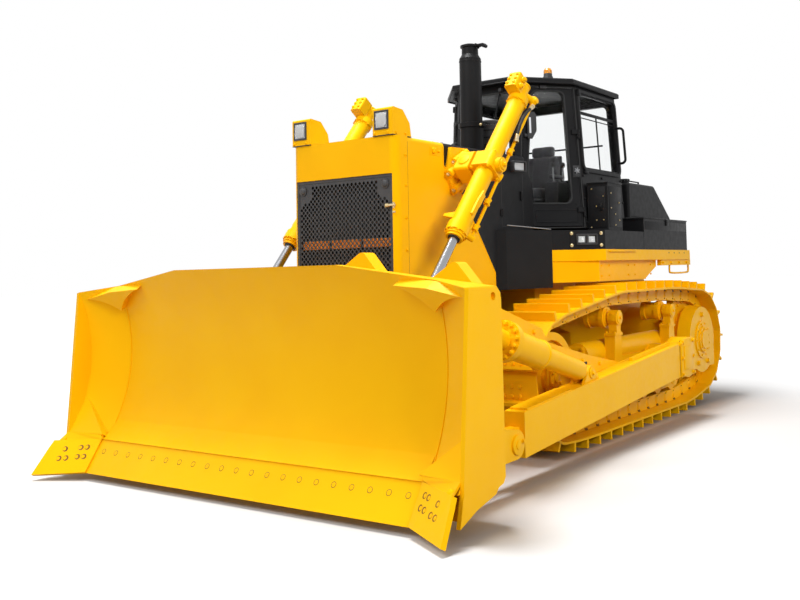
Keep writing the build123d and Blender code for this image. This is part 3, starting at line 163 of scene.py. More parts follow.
def mottle(tree, shader, factor, first, second):
    """Base colour that drifts between two colours, given as sRGB hex or as linear RGBA."""
    mix = add_node(tree, "ShaderNodeMix", {"data_type": "RGBA"})
    ends = [socket for socket in mix.inputs if socket.type == "RGBA"]
    for socket, colour in zip(ends, (first, second)):
        socket.default_value = linear(colour) if isinstance(colour, str) else colour
    tree.links.new(factor, mix.inputs["Factor"])
    blend = [socket for socket in mix.outputs if socket.type == "RGBA"][0]
    tree.links.new(blend, shader.inputs["Base Color"])


def vary_roughness(tree, shader, place, grain, low, high):
    """Roughness that drifts between two values over about grain millimetres."""
    tree.links.new(speckle(tree, place, grain, low, high), shader.inputs["Roughness"])


def emboss(tree, shader, height, depth_mm, strength):
    """Relief from a height of 0 to 1 that stands for depth_mm."""
    settings = {"Strength": strength, "Distance": depth_mm / 1000}
    relief = add_node(tree, "ShaderNodeBump", settings, {"Height": height})
    tree.links.new(relief.outputs["Normal"], shader.inputs["Normal"])


def sprayed_enamel(name, colour, shade, roughness, gloss=0.4, tint=(1.0, 1.0, 1.0, 1.0)):
    """Alkyd machine enamel sprayed over steel: soft gloss, faint orange peel, slightly uneven film."""
    material, tree, shader, place = new_material(name)
    # the film is thicker in some places, which shows as a broad faint change of tone
    film = speckle(tree, place, 420, 0.0, 1.0, detail=2.0)
    mottle(tree, shader, film, colour, shade)
    vary_roughness(tree, shader, place, 60, roughness - 0.05, roughness + 0.06)
    # real orange peel is about 2 mm across; drawn at 9 mm so that it shows
    emboss(tree, shader, speckle(tree, place, 9, 0, 1), 0.12, 0.35)
    shader.inputs["IOR"].default_value = 1.5
    # the pigment sits close to the surface, so the gloss picks up its colour
    shader.inputs["Specular IOR Level"].default_value = gloss
    shader.inputs["Specular Tint"].default_value = tint
    return material


def yellow_enamel():
    """Warm machine yellow on castings, plates and sheet metal."""
    tint = linear("#FFD63C")
    return sprayed_enamel("yellow enamel", colour_of("yellow"), colour_of("yellow_shade"), 0.42, 0.36, tint)


def black_enamel():
    """Satin black on cab, platform and tank; reads as a dark neutral grey under soft light."""
    return sprayed_enamel("black enamel", colour_of("black"), colour_of("black_shade"), 0.4, 0.1)


def powder_coat():
    """Fine-textured dark powder coat on punched sheet."""
    material, tree, shader, place = new_material("dark powder coat")
    mottle(tree, shader, speckle(tree, place, 90, 0, 1), "#3A3A3C", "#303032")
    # grit of about 0.4 mm, drawn at 4 mm so that it shows
    emboss(tree, shader, speckle(tree, place, 4, 0, 1), 0.15, 0.5)
    shader.inputs["Roughness"].default_value = 0.55
    return material


def hard_chrome():
    """Ground and hard-chromed rod: bright, with soft reflections from its very fine turned grain."""
    material, tree, shader, place = new_material("hard chrome")
    shader.inputs["Base Color"].default_value = linear("#A0A1A4")
    shader.inputs["Metallic"].default_value = 1.0
    vary_roughness(tree, shader, place, 12, 0.24, 0.26)
    return material


def toughened_glass():
    """Toughened sheet: almost clear, with a faint grey cast; a low IOR keeps the view through it straight."""
    material, tree, shader, place = new_material("toughened glass")
    shader.inputs["Base Color"].default_value = linear("#FAFBFB")
    shader.inputs["Transmission Weight"].default_value = 1.0
    shader.inputs["IOR"].default_value = 1.05
    vary_roughness(tree, shader, place, 300, 0.0, 0.01)
    return material


def amber_acrylic():
    """Moulded amber acrylic dome: clear colour with an inner glow."""
    material, tree, shader, place = new_material("amber acrylic")
    shader.inputs["Base Color"].default_value = linear("#F0A024")
    shader.inputs["Transmission Weight"].default_value = 0.35
    vary_roughness(tree, shader, place, 20, 0.08, 0.2)
    return material


def moulded_abs():
    """Black moulded ABS with a leather-like grain."""
    material, tree, shader, place = new_material("moulded ABS")
    mottle(tree, shader, speckle(tree, place, 40, 0, 1), "#232324", "#2C2C2D")
    grain = add_node(tree, "ShaderNodeTexVoronoi", {"Scale": per_mm(5)}, {"Vector": place})
    emboss(tree, shader, grain.outputs["Distance"], 0.3, 0.4)
    shader.inputs["Roughness"].default_value = 0.5
    return material


def woven_cloth():
    """Dark woven seat cloth: crossing threads, soft sheen."""
    material, tree, shader, place = new_material("woven seat cloth")
    # threads of about 1 mm, drawn 12 mm apart so that they show
    warp, weft = [
        add_node(
            tree,
            "ShaderNodeTexWave",
            {"bands_direction": axis, "Scale": per_mm(12) / WAVE_BANDS},
            {"Vector": place},
        )
        for axis in ("X", "Z")
    ]
    weave = add_node(tree, "ShaderNodeMath", {"operation": "MAXIMUM"}, {0: warp.outputs["Fac"], 1: weft.outputs["Fac"]})
    mottle(tree, shader, weave.outputs[0], colour_of("cloth_dark"), colour_of("cloth_light"))
    emboss(tree, shader, weave.outputs[0], 0.6, 0.5)
    shader.inputs["Roughness"].default_value = 0.85
    shader.inputs["Sheen Weight"].default_value = 0.3
    return material


def cast_iron():
    """Bare grey iron casting: dull and sand-grained."""
    material, tree, shader, place = new_material("grey cast iron")
    mottle(tree, shader, speckle(tree, place, 70, 0, 1), "#3B3B3B", "#4A4A49")
    emboss(tree, shader, speckle(tree, place, 6, 0, 1), 0.5, 0.6)
    shader.inputs["Roughness"].default_value = 0.7
    return material


def zinc_plate():
    """Yellow-passivated zinc plating on bolts and pipe ends: pale gold, slightly cloudy."""
    material, tree, shader, place = new_material("yellow zinc plate")
    mottle(tree, shader, speckle(tree, place, 14, 0, 1), "#D8C486", "#C9B9A0")
    shader.inputs["Metallic"].default_value = 1.0
    vary_roughness(tree, shader, place, 8, 0.28, 0.42)
    return material


def grime_and_shade_enamel():
    """Dark yellow enamel: grease in the joints of arms and hood, and painted shade in the bolt recesses of the cutting
    edge and in the gaps between track links.
    """
    return sprayed_enamel("grimed yellow enamel", linear("#6E4A08"), linear("#86600B"), 0.6)


def orange_enamel():
    """Safety-orange enamel on the fan guard."""
    return sprayed_enamel("orange enamel", linear("#FF9A2E"), linear("#F48A22"), 0.5)


def milky_polycarbonate():
    """Moulded milky polycarbonate bowl: pale, slightly see-through, softly glossy."""
    material, tree, shader, place = new_material("milky polycarbonate")
    mottle(tree, shader, speckle(tree, place, 80, 0, 1), "#D6D8D8", "#C6C9C9")
    shader.inputs["IOR"].default_value = 1.58
    shader.inputs["Transmission Weight"].default_value = 0.25
    vary_roughness(tree, shader, place, 30, 0.18, 0.3)
    return material


def vacuum_metal():
    """Vacuum-metallised reflector: bright aluminium film on plastic."""
    material, tree, shader, place = new_material("vacuum metallised reflector")
    mottle(tree, shader, speckle(tree, place, 40, 0, 1), "#B9BBBE", "#A9ABAF")
    shader.inputs["Metallic"].default_value = 1.0
    vary_roughness(tree, shader, place, 18, 0.14, 0.24)
    return material


def fluted_lens():
    """Pressed lamp glass: clear, with vertical flutes that break up the reflector."""
    material, tree, shader, place = new_material("pressed lamp glass")
    shader.inputs["Base Color"].default_value = linear("#F4F6F6")
    shader.inputs["Transmission Weight"].default_value = 0.6
    shader.inputs["IOR"].default_value = 1.25
    # real flutes are about 6 mm apart; drawn 18 mm apart so that they show
    settings = {"bands_direction": "X", "Scale": per_mm(18) / WAVE_BANDS}
    flutes = add_node(tree, "ShaderNodeTexWave", settings, {"Vector": place})
    emboss(tree, shader, flutes.outputs["Fac"], 1.2, 0.7)
    vary_roughness(tree, shader, place, 30, 0.04, 0.12)
    return material


def nitrile_rubber():
    """Black nitrile rubber: matt, faintly dusty, with a fine moulded grain."""
    material, tree, shader, place = new_material("nitrile rubber")
    mottle(tree, shader, speckle(tree, place, 60, 0, 1), "#171717", "#202020")
    emboss(tree, shader, speckle(tree, place, 4, 0, 1), 0.1, 0.4)
    shader.inputs["Roughness"].default_value = 0.62
    return material


def mirror_glass():
    """Silvered mirror glass."""
    material, tree, shader, place = new_material("silvered mirror glass")
    shader.inputs["Base Color"].default_value = linear("#E6E8EA")
    shader.inputs["Metallic"].default_value = 1.0
    vary_roughness(tree, shader, place, 60, 0.03, 0.07)
    return material


def anodised_aluminium():
    """Clear-anodised aluminium trim: satin grey with a fine drawn grain along it."""
    material, tree, shader, place = new_material("anodised aluminium")
    mottle(tree, shader, speckle(tree, place, 30, 0, 1), "#9B9C9E", "#8C8D90")
    shader.inputs["Metallic"].default_value = 1.0
    vary_roughness(tree, shader, place, 9, 0.3, 0.42)
    return material


MAKERS = (
    yellow_enamel, black_enamel, powder_coat, hard_chrome, toughened_glass, amber_acrylic,
    moulded_abs, woven_cloth, cast_iron, zinc_plate, grime_and_shade_enamel, orange_enamel,
    milky_polycarbonate, vacuum_metal, fluted_lens, nitrile_rubber, mirror_glass, anodised_aluminium,
)
MAKER_OF = {maker.__name__: maker for maker in MAKERS}
FINISHES = {}


def finish(name):
    """The material of a finish, made the first time it is asked for."""
    if name not in FINISHES:
        FINISHES[name] = MAKER_OF[name]()
    return FINISHES[name]


# finish of each CAD node that shows as packed
NODE_FINISH = {
    "black_enamel": (
        "hood cowl exhaust_stack deck boxes fuel_tank cab_shell cab_roof cab_door_left cab_door_right handrails"
    ),
    "powder_coat": "grille",
    "hard_chrome": "lift_rod_left lift_rod_right",
    "toughened_glass": "cab_glass door_glass_left door_glass_right",
    "amber_acrylic": "beacon",
    "moulded_abs": "controls pre_cleaner",
    "woven_cloth": "seat",
    "cast_iron": "engine",
}


def paint_nodes():
    """Gives every CAD node its finish; what isn't listed is yellow."""
    listed = {node: name for name, nodes in NODE_FINISH.items() for node in nodes.split()}
    for node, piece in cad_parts.items():
        piece.data.materials.clear()
        piece.data.materials.append(finish(listed.get(node, "yellow_enamel")))


# ---------------------------------------------------------------- shaping helpers; all sizes in millimetres
MM = 0.001


def facing(centre, axis):
    """Matrix that stands a shape's own Z along an axis, at a place."""
    turn = Vector(axis).to_track_quat("Z", "Y")
    return Matrix.Translation(Vector(centre) * MM) @ turn.to_matrix().to_4x4()


def round_edges(bm, edges, edge, segments=2):
    """Rounds edges by a width."""
    bmesh.ops.bevel(
        bm,
        geom=list(edges),
        offset=edge * MM,
        offset_type="OFFSET",
        affect="EDGES",
        segments=segments,
        profile=0.5,
        material=-1,
        clamp_overlap=True,
    )


def cut_corners(bm, corners, width, segments):
    """Cuts corners off faces, a width along each edge."""
    bmesh.ops.bevel(
        bm,
        geom=list(corners),
        offset=width * MM,
        offset_type="OFFSET",
        affect="VERTICES",
        segments=segments,
        profile=0.5,
        material=-1,
    )


def add_disc(bm, centre, axis, radius, height, segments=24, top=None, edge=0.0):
    """Turned boss that rises from its centre along an axis, with an optional smaller top and rounded rim."""
    lift = Matrix.Translation((0, 0, height * MM / 2))
    made = bmesh.ops.create_cone(
        bm,
        cap_ends=True,
        segments=segments,
        radius1=radius * MM,
        radius2=(radius if top is None else top) * MM,
        depth=height * MM,
        matrix=facing(centre, axis) @ lift,
    )
    if edge:
        ahead = Vector(axis).normalized()
        level = max(v.co.dot(ahead) for v in made["verts"]) - 1e-5
        rim = {e for v in made["verts"] for e in v.link_edges if all(w.co.dot(ahead) > level for w in e.verts)}
        round_edges(bm, rim, edge)


def add_slab(bm, low, high, edge=0.0, turn=None):
    """Block between two corners, with rounded edges, turned about its middle if asked."""
    middle = (Vector(low) + Vector(high)) / 2 * MM
    size = (Vector(high) - Vector(low)) * MM
    matrix = Matrix.Translation(middle) @ (turn or Matrix()) @ Matrix.Diagonal((*size, 1))
    made = bmesh.ops.create_cube(bm, size=1, matrix=matrix)
    if edge:
        round_edges(bm, {e for v in made["verts"] for e in v.link_edges}, edge)


def add_plate(bm, corners, direction, thick, edge=0.0):
    """Flat plate with the given corners, thickened along a direction."""
    face = bm.faces.new([bm.verts.new(Vector(corner) * MM) for corner in corners])
    raised = bmesh.ops.extrude_face_region(bm, geom=[face], use_keep_orig=True)
    tops = [item for item in raised["geom"] if isinstance(item, bmesh.types.BMVert)]
    bmesh.ops.translate(bm, verts=tops, vec=Vector(direction).normalized() * thick * MM)
    if edge:
        rim = {e for v in tops for e in v.link_edges if e.other_vert(v) in tops}
        round_edges(bm, rim, edge)


def add_bolt(bm, centre, axis, across, washer=True):
    """Hexagon bolt head, with a washer under it."""
    axis = Vector(axis).normalized()
    thick = across * 0.14 if washer else 0.0
    if washer:
        add_disc(bm, centre, axis, across * 0.72, thick, segments=14)
    base = Vector(centre) + axis * thick
    add_disc(bm, base, axis, across * 0.577, across * 0.42, segments=6)
    add_disc(bm, base + axis * across * 0.42, axis, across * 0.5, across * 0.1, segments=6, top=across * 0.4)


def ring_places(centre, axis, radius, count, start=0.0):
    """Evenly spaced places on a circle round an axis."""
    matrix = facing(centre, axis)
    spots = []
    for n in range(count):
        angle = radians(start) + 2 * pi * n / count
        spots.append(matrix @ Vector((radius * MM * cos(angle), radius * MM * sin(angle), 0)) / MM)
    return spots


def add_piece(bm, name, look, body="root", smooth=None):
    """Turns a bmesh into a finished piece that rides on a body."""
    bmesh.ops.recalc_face_normals(bm, faces=bm.faces)
    mesh = bpy.data.meshes.new(name)
    bm.to_mesh(mesh)
    bm.free()
    return add_mesh(mesh, name, look, body, smooth)


def add_mesh(mesh, name, look, body="root", smooth=None):
    """Makes a mesh a piece with a finish, a body and a material slot."""
    if smooth is not None:
        mesh.shade_smooth()
        mesh.set_sharp_from_angle(angle=radians(smooth))
    mesh.materials.clear()
    mesh.materials.append(finish(look))
    piece = bpy.data.objects.new(name, mesh)
    bpy.context.collection.objects.link(piece)
    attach(piece, body)
    return piece


def add_tube(name, points, radius, look, body="root", closed=False, straight=False):
    """Round tube along a line through points; the corners are eased unless it is straight."""
    curve = bpy.data.curves.new(name, "CURVE")
    curve.dimensions = "3D"
    curve.bevel_depth = radius * MM
    curve.bevel_resolution = 3
    curve.use_fill_caps = not closed
    spline = curve.splines.new("POLY" if straight else "NURBS")
    spline.points.add(len(points) - 1)
    for place, point in zip(spline.points, points):
        place.co = (*(Vector(point) * MM), 1.0)
    spline.use_cyclic_u = closed
    if not straight:
        spline.order_u = 3
        spline.use_endpoint_u = not closed
        spline.resolution_u = 6
    holder = bpy.data.objects.new(name, curve)
    mesh = bpy.data.meshes.new_from_object(holder)
    bpy.data.objects.remove(holder)
    bpy.data.curves.remove(curve)
    add_mesh(mesh, name, look, body, 40)


def mirrored(points, side):
    """Points, or their mirror image across the machine's middle."""
    return [(side * x, y, z) for x, y, z in points]


def box_mm(node):
    """Lowest and highest corner of a CAD node, in millimetres."""
    return [Vector(corner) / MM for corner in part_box(node)]


SIDES = (("left", 1), ("right", -1))


# ---------------------------------------------------------------- tracks and undercarriage
# wheels in order along the belt: y, z, radius of the pin line
BELT_WHEELS = (
    (2444, 728, 496),
    (1990, 336, 178),
    (-360, 336, 178),
    (-706, 640, 470),
    (374, 1096, 174),
    (1677, 1096, 174),
)
SPROCKET_AT, IDLER_AT = BELT_WHEELS[0][:2], BELT_WHEELS[3][:2]
ROLLER_YS, ROLLER_Z = range(-250, 1881, 355), 336
CARRIER_YS, CARRIER_Z = (374, 1677), 1096
SHOE_COUNT = 41
# middle of a track, outer face of its roller guard, and outer face of its final drive
TRACK_X = 1070.0
GUARD_X = TRACK_X + 125
DRIVE_X = 1335
# outlines on a link's outer face: along the belt, and out from its pin line
LINK_OUTLINE = ((-96, -26), (-62, -60), (62, -60), (96, -26), (96, 26), (74, 60), (-74, 60), (-96, 26))
# dark plate over the gap between one link and the next: painted shade
LINK_GAP_SHADE = ((94, -46), (122, -34), (122, 54), (74, 68), (74, 60), (92, 30))


def belt_pins():
    """(y, z) of the track pins on the belt drawn tight round the wheels."""
    leans, runs = [], []
    for (ya, za, ra), (yb, zb, rb) in zip(BELT_WHEELS, BELT_WHEELS[1:] + BELT_WHEELS[:1]):
        span = hypot(yb - ya, zb - za)
        leans.append(atan2(zb - za, yb - ya) + pi / 2 - asin((ra - rb) / span))
        runs.append((span**2 - (ra - rb) ** 2) ** 0.5)
    turns = [(leans[i - 1] - leans[i]) % (2 * pi) for i in range(len(BELT_WHEELS))]
    total = sum(runs) + sum(turn * wheel[2] for turn, wheel in zip(turns, BELT_WHEELS))
    pins = []
    for k in range(SHOE_COUNT):
        left = total * k / SHOE_COUNT
        for (y, z, radius), lean_in, lean_out, turn, run in zip(
            BELT_WHEELS, leans[-1:] + leans[:-1], leans, turns, runs
        ):
            if left < turn * radius:
                angle = lean_in - left / radius
                pins.append((y + radius * cos(angle), z + radius * sin(angle)))
                break
            left -= turn * radius
            if left < run:
                start_y, start_z = y + radius * cos(lean_out), z + radius * sin(lean_out)
                pins.append((start_y + left * sin(lean_out), start_z - left * cos(lean_out)))
                break
            left -= run
    return pins


def build_track_links():
    """Link plates, pins, bushes and shoe bolts on both tracks, with painted shade in the gaps between links."""
    pins = belt_pins()
    for side_name, side in SIDES:
        plates, ends, bolts, joints = bmesh.new(), bmesh.new(), bmesh.new(), bmesh.new()
        for (ya, za), (yb, zb) in zip(pins, pins[1:] + pins[:1]):
            pitch = hypot(yb - ya, zb - za)
            ty, tz = (yb - ya) / pitch, (zb - za) / pitch
            out_y, out_z = -tz, ty

            def at(x, u, v):
                """Point beside this link: across the track, along the belt, and out from the pin line."""
                return (side * x, (ya + yb) / 2 + u * ty + v * out_y, (za + zb) / 2 + u * tz + v * out_z)

            # two rails; on each the face away from the other is seen
            for rail in (-1, 1):
                face_x = TRACK_X + rail * 102
                add_plate(plates, [at(face_x, u, v) for u, v in LINK_OUTLINE], (side * rail, 0, 0), 7, edge=2)
                # dark plate in the gap before the next link: painted shade
                add_plate(joints, [at(face_x, u, v) for u, v in LINK_GAP_SHADE], (side * rail, 0, 0), 7.6)
                pin = (side * face_x, ya, za)
                add_disc(ends, pin, (side * rail, 0, 0), size_mm("pin_boss"), 11, segments=16, edge=3)
                add_disc(ends, pin, (side * rail, 0, 0), 23, 15, segments=12)
            add_disc(ends, (side * (TRACK_X - 56), ya, za), (side, 0, 0), 33, 112, segments=12)
            for x in (TRACK_X - 118, TRACK_X - 40, TRACK_X + 40, TRACK_X + 118):
                for u in (-18, 62):
                    add_bolt(bolts, at(x, u, 82), (0, out_y, out_z), size_mm("shoe_bolt"), washer=False)
        add_piece(plates, f"link_plates_{side_name}", "yellow_enamel")
        add_piece(ends, f"track_pins_{side_name}", "yellow_enamel", smooth=40)
        add_piece(joints, f"link_joints_{side_name}", "grime_and_shade_enamel")
        add_piece(bolts, f"shoe_bolts_{side_name}", "yellow_enamel")


def build_undercarriage_bolts():
    """Caps and bolts on rollers, guards, idlers and final drives."""
    caps, bolts, plugs = bmesh.new(), bmesh.new(), bmesh.new()
    for _, side in SIDES:
        out = (side, 0, 0)
        for y in ROLLER_YS:
            add_disc(caps, (side * GUARD_X, y, ROLLER_Z), out, 58, 10, segments=20, edge=3)
            add_disc(caps, (side * GUARD_X, y, ROLLER_Z), out, 34, 16, segments=16, edge=2)
            for across in (-110, 110):
                for z in (330, 430):
                    add_bolt(bolts, (side * GUARD_X, y + across, z), out, size_mm("frame_bolt"))
        # idler: axle block with its four bolts
        block_x = GUARD_X + 22
        add_slab(caps, (side * GUARD_X, -790, 570), (side * block_x, -622, 710), edge=8)
        for y in (-770, -642):
            for z in (590, 690):
                add_bolt(bolts, (side * block_x, y, z), out, 28)
        add_disc(caps, (side * block_x, *IDLER_AT), out, 40, 14, segments=20, edge=3)
        # carrier rollers: clamp cap, its bolts, and the flange bolts of the post
        clamp_x = TRACK_X + 236
        for y in CARRIER_YS:
            add_disc(caps, (side * clamp_x, y, CARRIER_Z), out, 58, 8, segments=24, edge=3)
            add_bolt(plugs, (side * (clamp_x + 8), y, CARRIER_Z), out, 26)
            for along in (-58, 58):
                for x in (GUARD_X - 2, GUARD_X + 86):
                    add_bolt(bolts, (side * x, y + along, 950), (0, 0, 1), 24)
                low = (side * (clamp_x - 74), y + along - 16, CARRIER_Z - 30)
                add_slab(caps, low, (side * (clamp_x - 20), y + along + 16, CARRIER_Z + 30), edge=4)
                add_bolt(bolts, (side * (clamp_x - 47), y + along, CARRIER_Z + 30), (0, 0, 1), 24)
            # seal ring between roller and post
            add_disc(caps, (side * (TRACK_X + 105), y, CARRIER_Z), out, 84, 16, segments=32, edge=4)
        # final drive: bolts round the cover, round the case, and the drain plugs
        for spot in ring_places((side * (DRIVE_X + 16), *SPROCKET_AT), out, 184, 10):
            add_bolt(bolts, spot, out, 22, washer=False)
        for spot in ring_places((side * (DRIVE_X + 33), *SPROCKET_AT), out, 125, 9, 20):
            add_bolt(bolts, spot, out, 20)
        for y, z in ((2300, 470), (2588, 470), (2444, 1010)):
            add_bolt(plugs, (side * (DRIVE_X - 1), y, z), out, 44)
        # sprocket: segment bolts on the rim
        for spot in ring_places((side * (TRACK_X + 42), *SPROCKET_AT), out, 432, 27, 6):
            add_bolt(bolts, spot, out, 26)
        # recoil housing: front cover plate and its bolts
        add_slab(caps, (side * 985, -78, 690), (side * 1155, -60, 850), edge=8)
        for x in (1005, 1135):
            for z in (710, 830):
                add_bolt(bolts, (side * x, -78, z), (0, -1, 0), 26)
        # bolts of the strap above the arm pivot
        for y in (1180, 1480):
            add_bolt(bolts, (side * GUARD_X, y, 700), out, 40)
    add_piece(caps, "undercarriage_caps", "yellow_enamel", smooth=35)
    add_piece(bolts, "undercarriage_bolts", "yellow_enamel")
    add_piece(plugs, "undercarriage_plugs", "yellow_enamel")


# ---------------------------------------------------------------- blade and its arms
# centre and radius of the blade's curved face, then the pins behind it
BLADE_FACE_Y, BLADE_FACE_Z, BLADE_FACE_R = -4055.04, 1000.0, 1240.0
BRACE_REAR_PIN, BRACE_FRONT_PIN = Vector((1520, -750, 702)), Vector((1520, -2600, 1257))
LIFT_EAR_PIN = (915, -2426, 979)
LIFT_EAR_HALF, BRACE_EAR_HALF = 94, 68


def face_y(z):
    """Y of the blade's curved face at a height."""
    return BLADE_FACE_Y + (BLADE_FACE_R**2 - (z - BLADE_FACE_Z) ** 2) ** 0.5


def build_edge_bolts():
    """Plough bolts in the cutting edge and the end bits, each with a dark ring round its head: painted shade of its
    countersink.
    """
    heads, recess_shade = bmesh.new(), bmesh.new()
    edge_normal = Vector((0, -238, 145)).normalized()
    for n in range(21):
        x = -1560 + n * 156
        spot = Vector((x, -3122, 219))
        # dark ring round the head: painted shade
        add_disc(recess_shade, spot - edge_normal * 1, edge_normal, 21.5, 2.0, segments=20)
        add_disc(heads, spot, edge_normal, 18.5, 2.6, segments=16, top=16)
    corner, tip = Vector((1651, -3219, 60)), Vector((2050, -3424, 42))
    rise = Vector((0, 145, 238))
    normal = (tip - corner).cross(rise).normalized()
    for side in (1, -1):
        for s, t in ((0.19, 0.76), (0.31, 0.76), (0.6, 0.74), (0.17, 0.48), (0.29, 0.48), (0.5, 0.46), (0.63, 0.46)):
            spot = corner + (tip - corner) * s + rise * t + normal * 18
            head = spot + (tip - corner).normalized() * 7
            spot, way = Vector((side * spot.x, spot.y, spot.z)), Vector((side * normal.x, normal.y, normal.z))
            add_disc(recess_shade, spot - way * 1, way, 22, 2.2, segments=20)
            add_disc(heads, (side * head.x, head.y, head.z), way, 15, 2.8, segments=14, top=13)
    add_piece(heads, "edge_bolt_heads", "yellow_enamel", "blade")
    add_piece(recess_shade, "edge_bolt_sinks", "grime_and_shade_enamel", "blade")


def build_blade_lip():
    """Lip of the skin that laps over the cutting edge, and the seats above the end bits."""
    lip = bmesh.new()
    section = ((-3084.6, 304), (-3033, 345), (-2981, 400), (-2948, 441), (-2935, 425), (-3055, 288), (-3070, 295))
    add_plate(lip, [(-1640, y, z) for y, z in section], (1, 0, 0), 3280)
    for side in (1, -1):
        seat = [(1644, -3080, 306), (1984, -3250, 288), (1984, -3160, 352), (1640, -3102, 352)]
        add_plate(lip, mirrored(seat, side), (0, 0.9, -0.43), 26, edge=4)
        add_disc(lip, (side * 1952, -3215, 300), (0, -0.9, 0.43), 20, 12, segments=16, edge=3)
    add_piece(lip, "blade_lip", "yellow_enamel", "blade", smooth=30)


def build_blade_welds():
    """Weld beads in the blade's corners, and the pin heads of its ears."""
    for side_name, side in SIDES:
        # bead in the corner between the face and the side wing
        heights = [1500 - 120 * n for n in range(11)] + [286]
        line = [(side * 1650, face_y(z) - 2, z) for z in heights]
        add_tube(f"wing_weld_{side_name}", line, size_mm("weld_bead"), "yellow_enamel", "blade")
        pins, bolts = bmesh.new(), bmesh.new()
        # pins of the lift rod's ears and the brace's ears, with their keepers
        for (middle, y, z), half, radius in (
            (LIFT_EAR_PIN, LIFT_EAR_HALF, 58),
            (BRACE_FRONT_PIN, BRACE_EAR_HALF, 44),
        ):
            for way in (-1, 1):
                x, out = side * (middle + way * half), side * way
                add_disc(pins, (x, y, z), (out, 0, 0), radius, 12, edge=3)
                add_disc(pins, (x, y, z), (out, 0, 0), radius * 0.45, 17, segments=16, edge=2)
                add_bolt(bolts, (x + out * 12, y, z - radius * 0.68), (out, 0, 0), 20)
                add_bolt(bolts, (x + out * 12, y, z + radius * 0.68), (out, 0, 0), 20)
        add_piece(pins, f"blade_pins_{side_name}", "yellow_enamel", "blade", smooth=35)
        add_piece(bolts, f"blade_pin_bolts_{side_name}", "yellow_enamel", "blade")


def build_arm_details():
    """Pin heads, covers and bolts on the push arms and braces."""
    brace = (BRACE_FRONT_PIN - BRACE_REAR_PIN).normalized()
    for side_name, side in SIDES:
        caps, bolts, joints = bmesh.new(), bmesh.new(), bmesh.new()
        out = (side, 0, 0)
        # pivot cap: stepped cover with two rows of bolts, and the joints in front of it and behind
        add_slab(caps, (side * 1600, 1120, 452), (side * 1624, 1452, 838), edge=9)
        add_slab(caps, (side * 1620, 1180, 520), (side * 1634, 1396, 764), edge=7)
        for y in (1148, 1424):
            for z in (480, 644, 810):
                add_bolt(bolts, (side * 1624, y, z), out, 30)
        for y in (1108, 1462):
            add_slab(joints, (side * 1606, y - 3, 470), (side * 1612.5, y + 3, 820))
        # hinge of the blade: pin head with a keeper
        add_disc(caps, (side * 1610, -1960, 325), out, 72, 16, segments=32, edge=5)
        add_disc(caps, (side * 1626, -1960, 325), out, 34, 6, segments=24, edge=2)
        add_bolt(bolts, (side * 1626, -1905, 345), out, 28)
        # brace's rear pin
        for way in (1, -1):
            face = BRACE_REAR_PIN.x + way * BRACE_EAR_HALF
            add_disc(caps, (side * face, *BRACE_REAR_PIN.yz), (side * way, 0, 0), 44, 12, edge=3)
            add_bolt(bolts, (side * (face + way * 12), *BRACE_REAR_PIN.yz), (side * way, 0, 0), 26)
        # weld bead along the arm's top edge and the seam of its box
        for x in (1438, 1602):
            line = [(side * x, y, 374 + (y + 1850) * 0.0853 + 166) for y in (-1840, -800, 200, 1200)]
            name = f"arm_weld_{side_name}_{x}"
            add_tube(name, line, size_mm("weld_bead"), "yellow_enamel", "blade", straight=True)
        # grease line block ahead of the pivot
        add_slab(caps, (side * 1600, 1100, 770), (side * 1622, 1180, 812), edge=5)
        for y in (1120, 1160):
            add_bolt(bolts, (side * 1622, y, 791), out, 22)
        if side > 0:
            # tilt cylinder: bolts round both faces of the big flange, and two rings
            flange = BRACE_REAR_PIN + brace * 1290
            for spot in ring_places(flange, brace, 128, 14, 8):
                add_bolt(bolts, spot, brace, 30)
            back = BRACE_REAR_PIN + brace * 1230
            for spot in ring_places(back, -brace, 130, 14, 8):
                add_bolt(bolts, spot, -brace, 26)
            add_disc(caps, BRACE_REAR_PIN + brace * 755, brace, 118, 24, segments=40, edge=6)
            add_disc(caps, BRACE_REAR_PIN + brace * 1200, brace, 122, 30, segments=40, edge=4)
            # bolts of the hose guard
            for y, z in ((-2440, 1282), (-1990, 1288), (-1420, 1090), (-1270, 985), (-640, 790), (-330, 740)):
                add_bolt(bolts, (1444, y, z), (1, 0, 0), 28)
            # two hoses that leave the guard for the tilt cylinder's ports
            for shift in (0, 46):
                line = [
                    (1462, -2420 + shift, 1318),
                    (1470, -2470 + shift, 1330),
                    (1500, -2500 + shift, 1300),
                    (1524, -2440 + shift, 1268),
                    (1524, -2380 + shift, 1238),
                ]
                add_tube(f"tilt_hose_{shift}", line, size_mm("hose"), "nitrile_rubber", "blade")
        add_piece(caps, f"arm_caps_{side_name}", "yellow_enamel", "blade", smooth=35)
        add_piece(bolts, f"arm_bolts_{side_name}", "yellow_enamel", "blade")
        add_piece(joints, f"arm_joints_{side_name}", "grime_and_shade_enamel", "blade")
        if side > 0:
            # black plate where the guard's hoses pass: painted shade of the slot
            dark = bmesh.new()
            add_slab(dark, (1443, -640, 752), (1446, -560, 776))
            add_piece(dark, "guard_slots", "black_enamel", "blade")


# ---------------------------------------------------------------- front: grille and lamps
# half the hood's width, and the height of its top
HOOD_SIDE, HOOD_TOP = 573, 2676


